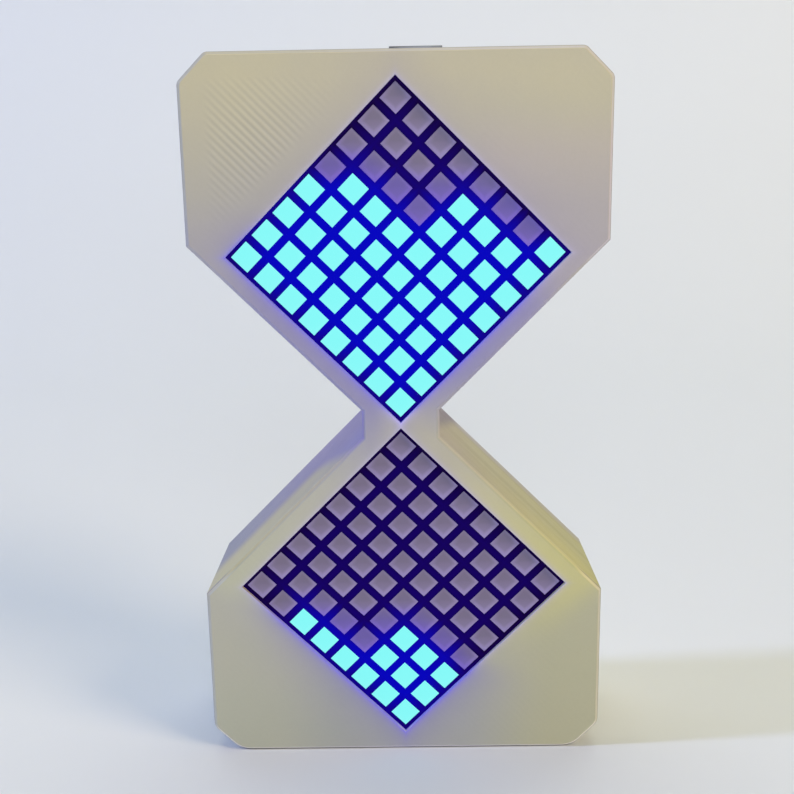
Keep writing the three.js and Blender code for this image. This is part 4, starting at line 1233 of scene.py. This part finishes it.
class TIMER_OT_stage(bpy.types.Operator):
    """Build the floor, the lamps and the camera"""

    bl_idname = "timer.stage"
    bl_label = "Floor, lamps and camera"

    def execute(self, context):
        look = context.scene.timer_stage
        self.sweep(look)
        self.air(context.scene, look)
        # name, place, side of the square, power in watts and colour
        lamps = (
            ("right_lamp", (1.3, -0.8, 1.1), 0.65, 15.2, (1.0, 0.79, 0.51)),
            ("left_lamp", (-1.6, -0.17, 0.85), 0.14, 15.8, (0.47, 0.54, 1.0)),
            ("top_lamp", (0.0, 0.3, 1.3), 0.9, 6.3, (0.97, 1.0, 0.79)),
            ("front_lamp", (0.1, -1.5, 0.5), 0.8, 8.0, (0.8, 0.86, 1.0)),
        )
        for name, place, size, power, color in lamps:
            self.lamp(name, Vector(place), size, power, color)
        self.camera(context.scene)
        context.scene.view_settings.view_transform = "Standard"
        return {"FINISHED"}

    def sweep(self, look):
        """A floor that curves up into a backdrop."""
        start()
        bpy.ops.mesh.primitive_plane_add(size=1)
        piece = named("floor")
        piece.scale = (2.4, 1.3, 1)
        piece.location = (0, -0.1, 0)
        settle(piece)
        choose(piece, "EDGE", lambda edge: all(v.co.y > 0.5 for v in edge.verts))
        push(1.2)
        choose(piece, "EDGE", lambda edge: not edge.is_boundary)
        bpy.ops.mesh.bevel(offset=0.3, segments=16)
        take(piece)
        bpy.ops.object.shade_smooth()
        paint = Paint("floor_paper", 0.1)
        x, _, z = paint.axes()
        pale = [part * 0.87 for part in look.floor_color]
        # painted light: the floor and backdrop are darker towards the left and low down
        share = x.smooth(-0.5, 0.35) * 0.5 + z.smooth(0.0, 0.2) * 0.5
        cloud = (paint.noise(3.0) - 0.5) * 0.2
        color = paint.mix(share + cloud, pale, look.floor_color)
        dress(piece, paint.finished(color, 0.9, paint.noise(1500.0), 0.02, 0.3))

    def air(self, scene, look):
        world = bpy.data.worlds.new("air")
        scene.world = world
        world.use_nodes = True
        background = world.node_tree.nodes["Background"]
        background.inputs["Color"].default_value = (*look.air_color, 1)
        background.inputs["Strength"].default_value = look.air_level

    def lamp(self, name, place, size, power, color):
        bpy.ops.object.light_add(type="AREA", location=place)
        lamp = named(name)
        lamp.data.size = size
        lamp.data.energy = power
        lamp.data.color = color
        aim = Vector((0, 0, 0.05)) - place
        lamp.rotation_mode = "QUATERNION"
        lamp.rotation_quaternion = aim.to_track_quat("-Z", "Y")

    def camera(self, scene):
        """The photograph's camera, from its place and the directions of its axes."""
        bpy.ops.object.camera_add()
        camera = named("camera")
        right = Vector((0.9998, 0.0068, -0.0168))
        ahead = Vector((-0.0104, 0.9744, -0.2247)).normalized()
        up = right.cross(ahead).normalized()
        right = ahead.cross(up)
        place = Vector((1.07, -153.11, 85.73)) * MM
        turn = Matrix((right, up, -ahead)).transposed().to_4x4()
        camera.matrix_world = Matrix.Translation(place) @ turn
        camera.data.lens = 49.01
        camera.data.clip_start = 0.005
        scene.camera = camera


LOOKS = {
    "timer_case": CaseLook,
    "timer_display": DisplayLook,
    "timer_inside": InsideLook,
    "timer_stage": StageLook,
}
OPERATORS = (
    TIMER_OT_case_front,
    TIMER_OT_case_back,
    TIMER_OT_dot_frames,
    TIMER_OT_dot_windows,
    TIMER_OT_charging_socket,
    TIMER_OT_slide_switch,
    TIMER_OT_push_button,
    TIMER_OT_cover_screws,
    TIMER_OT_boards,
    TIMER_OT_battery,
    TIMER_OT_stage,
)


class TIMER_PT_panel(bpy.types.Panel):
    """Values and steps of the timer's looks"""

    bl_idname = "TIMER_PT_panel"
    bl_label = "Hourglass timer"
    bl_space_type = "VIEW_3D"
    bl_region_type = "UI"
    bl_category = "Timer"

    def draw(self, context):
        for name, look in LOOKS.items():
            box = self.layout.box()
            box.label(text=look.__doc__)
            for key in look.__annotations__:
                box.prop(getattr(context.scene, name), key)
        for operator in OPERATORS:
            self.layout.operator(operator.bl_idname)


def register():
    for name, look in LOOKS.items():
        bpy.utils.register_class(look)
        setattr(bpy.types.Scene, name, PointerProperty(type=look))
    for item in (*OPERATORS, TIMER_PT_panel):
        bpy.utils.register_class(item)


def unregister():
    for item in (TIMER_PT_panel, *reversed(OPERATORS)):
        bpy.utils.unregister_class(item)
    for name, look in LOOKS.items():
        delattr(bpy.types.Scene, name)
        bpy.utils.unregister_class(look)


def main():
    register()
    for operator in OPERATORS:
        family, step = operator.bl_idname.split(".")
        getattr(getattr(bpy.ops, family), step)()
    start()


if __name__ == "__main__":
    main()
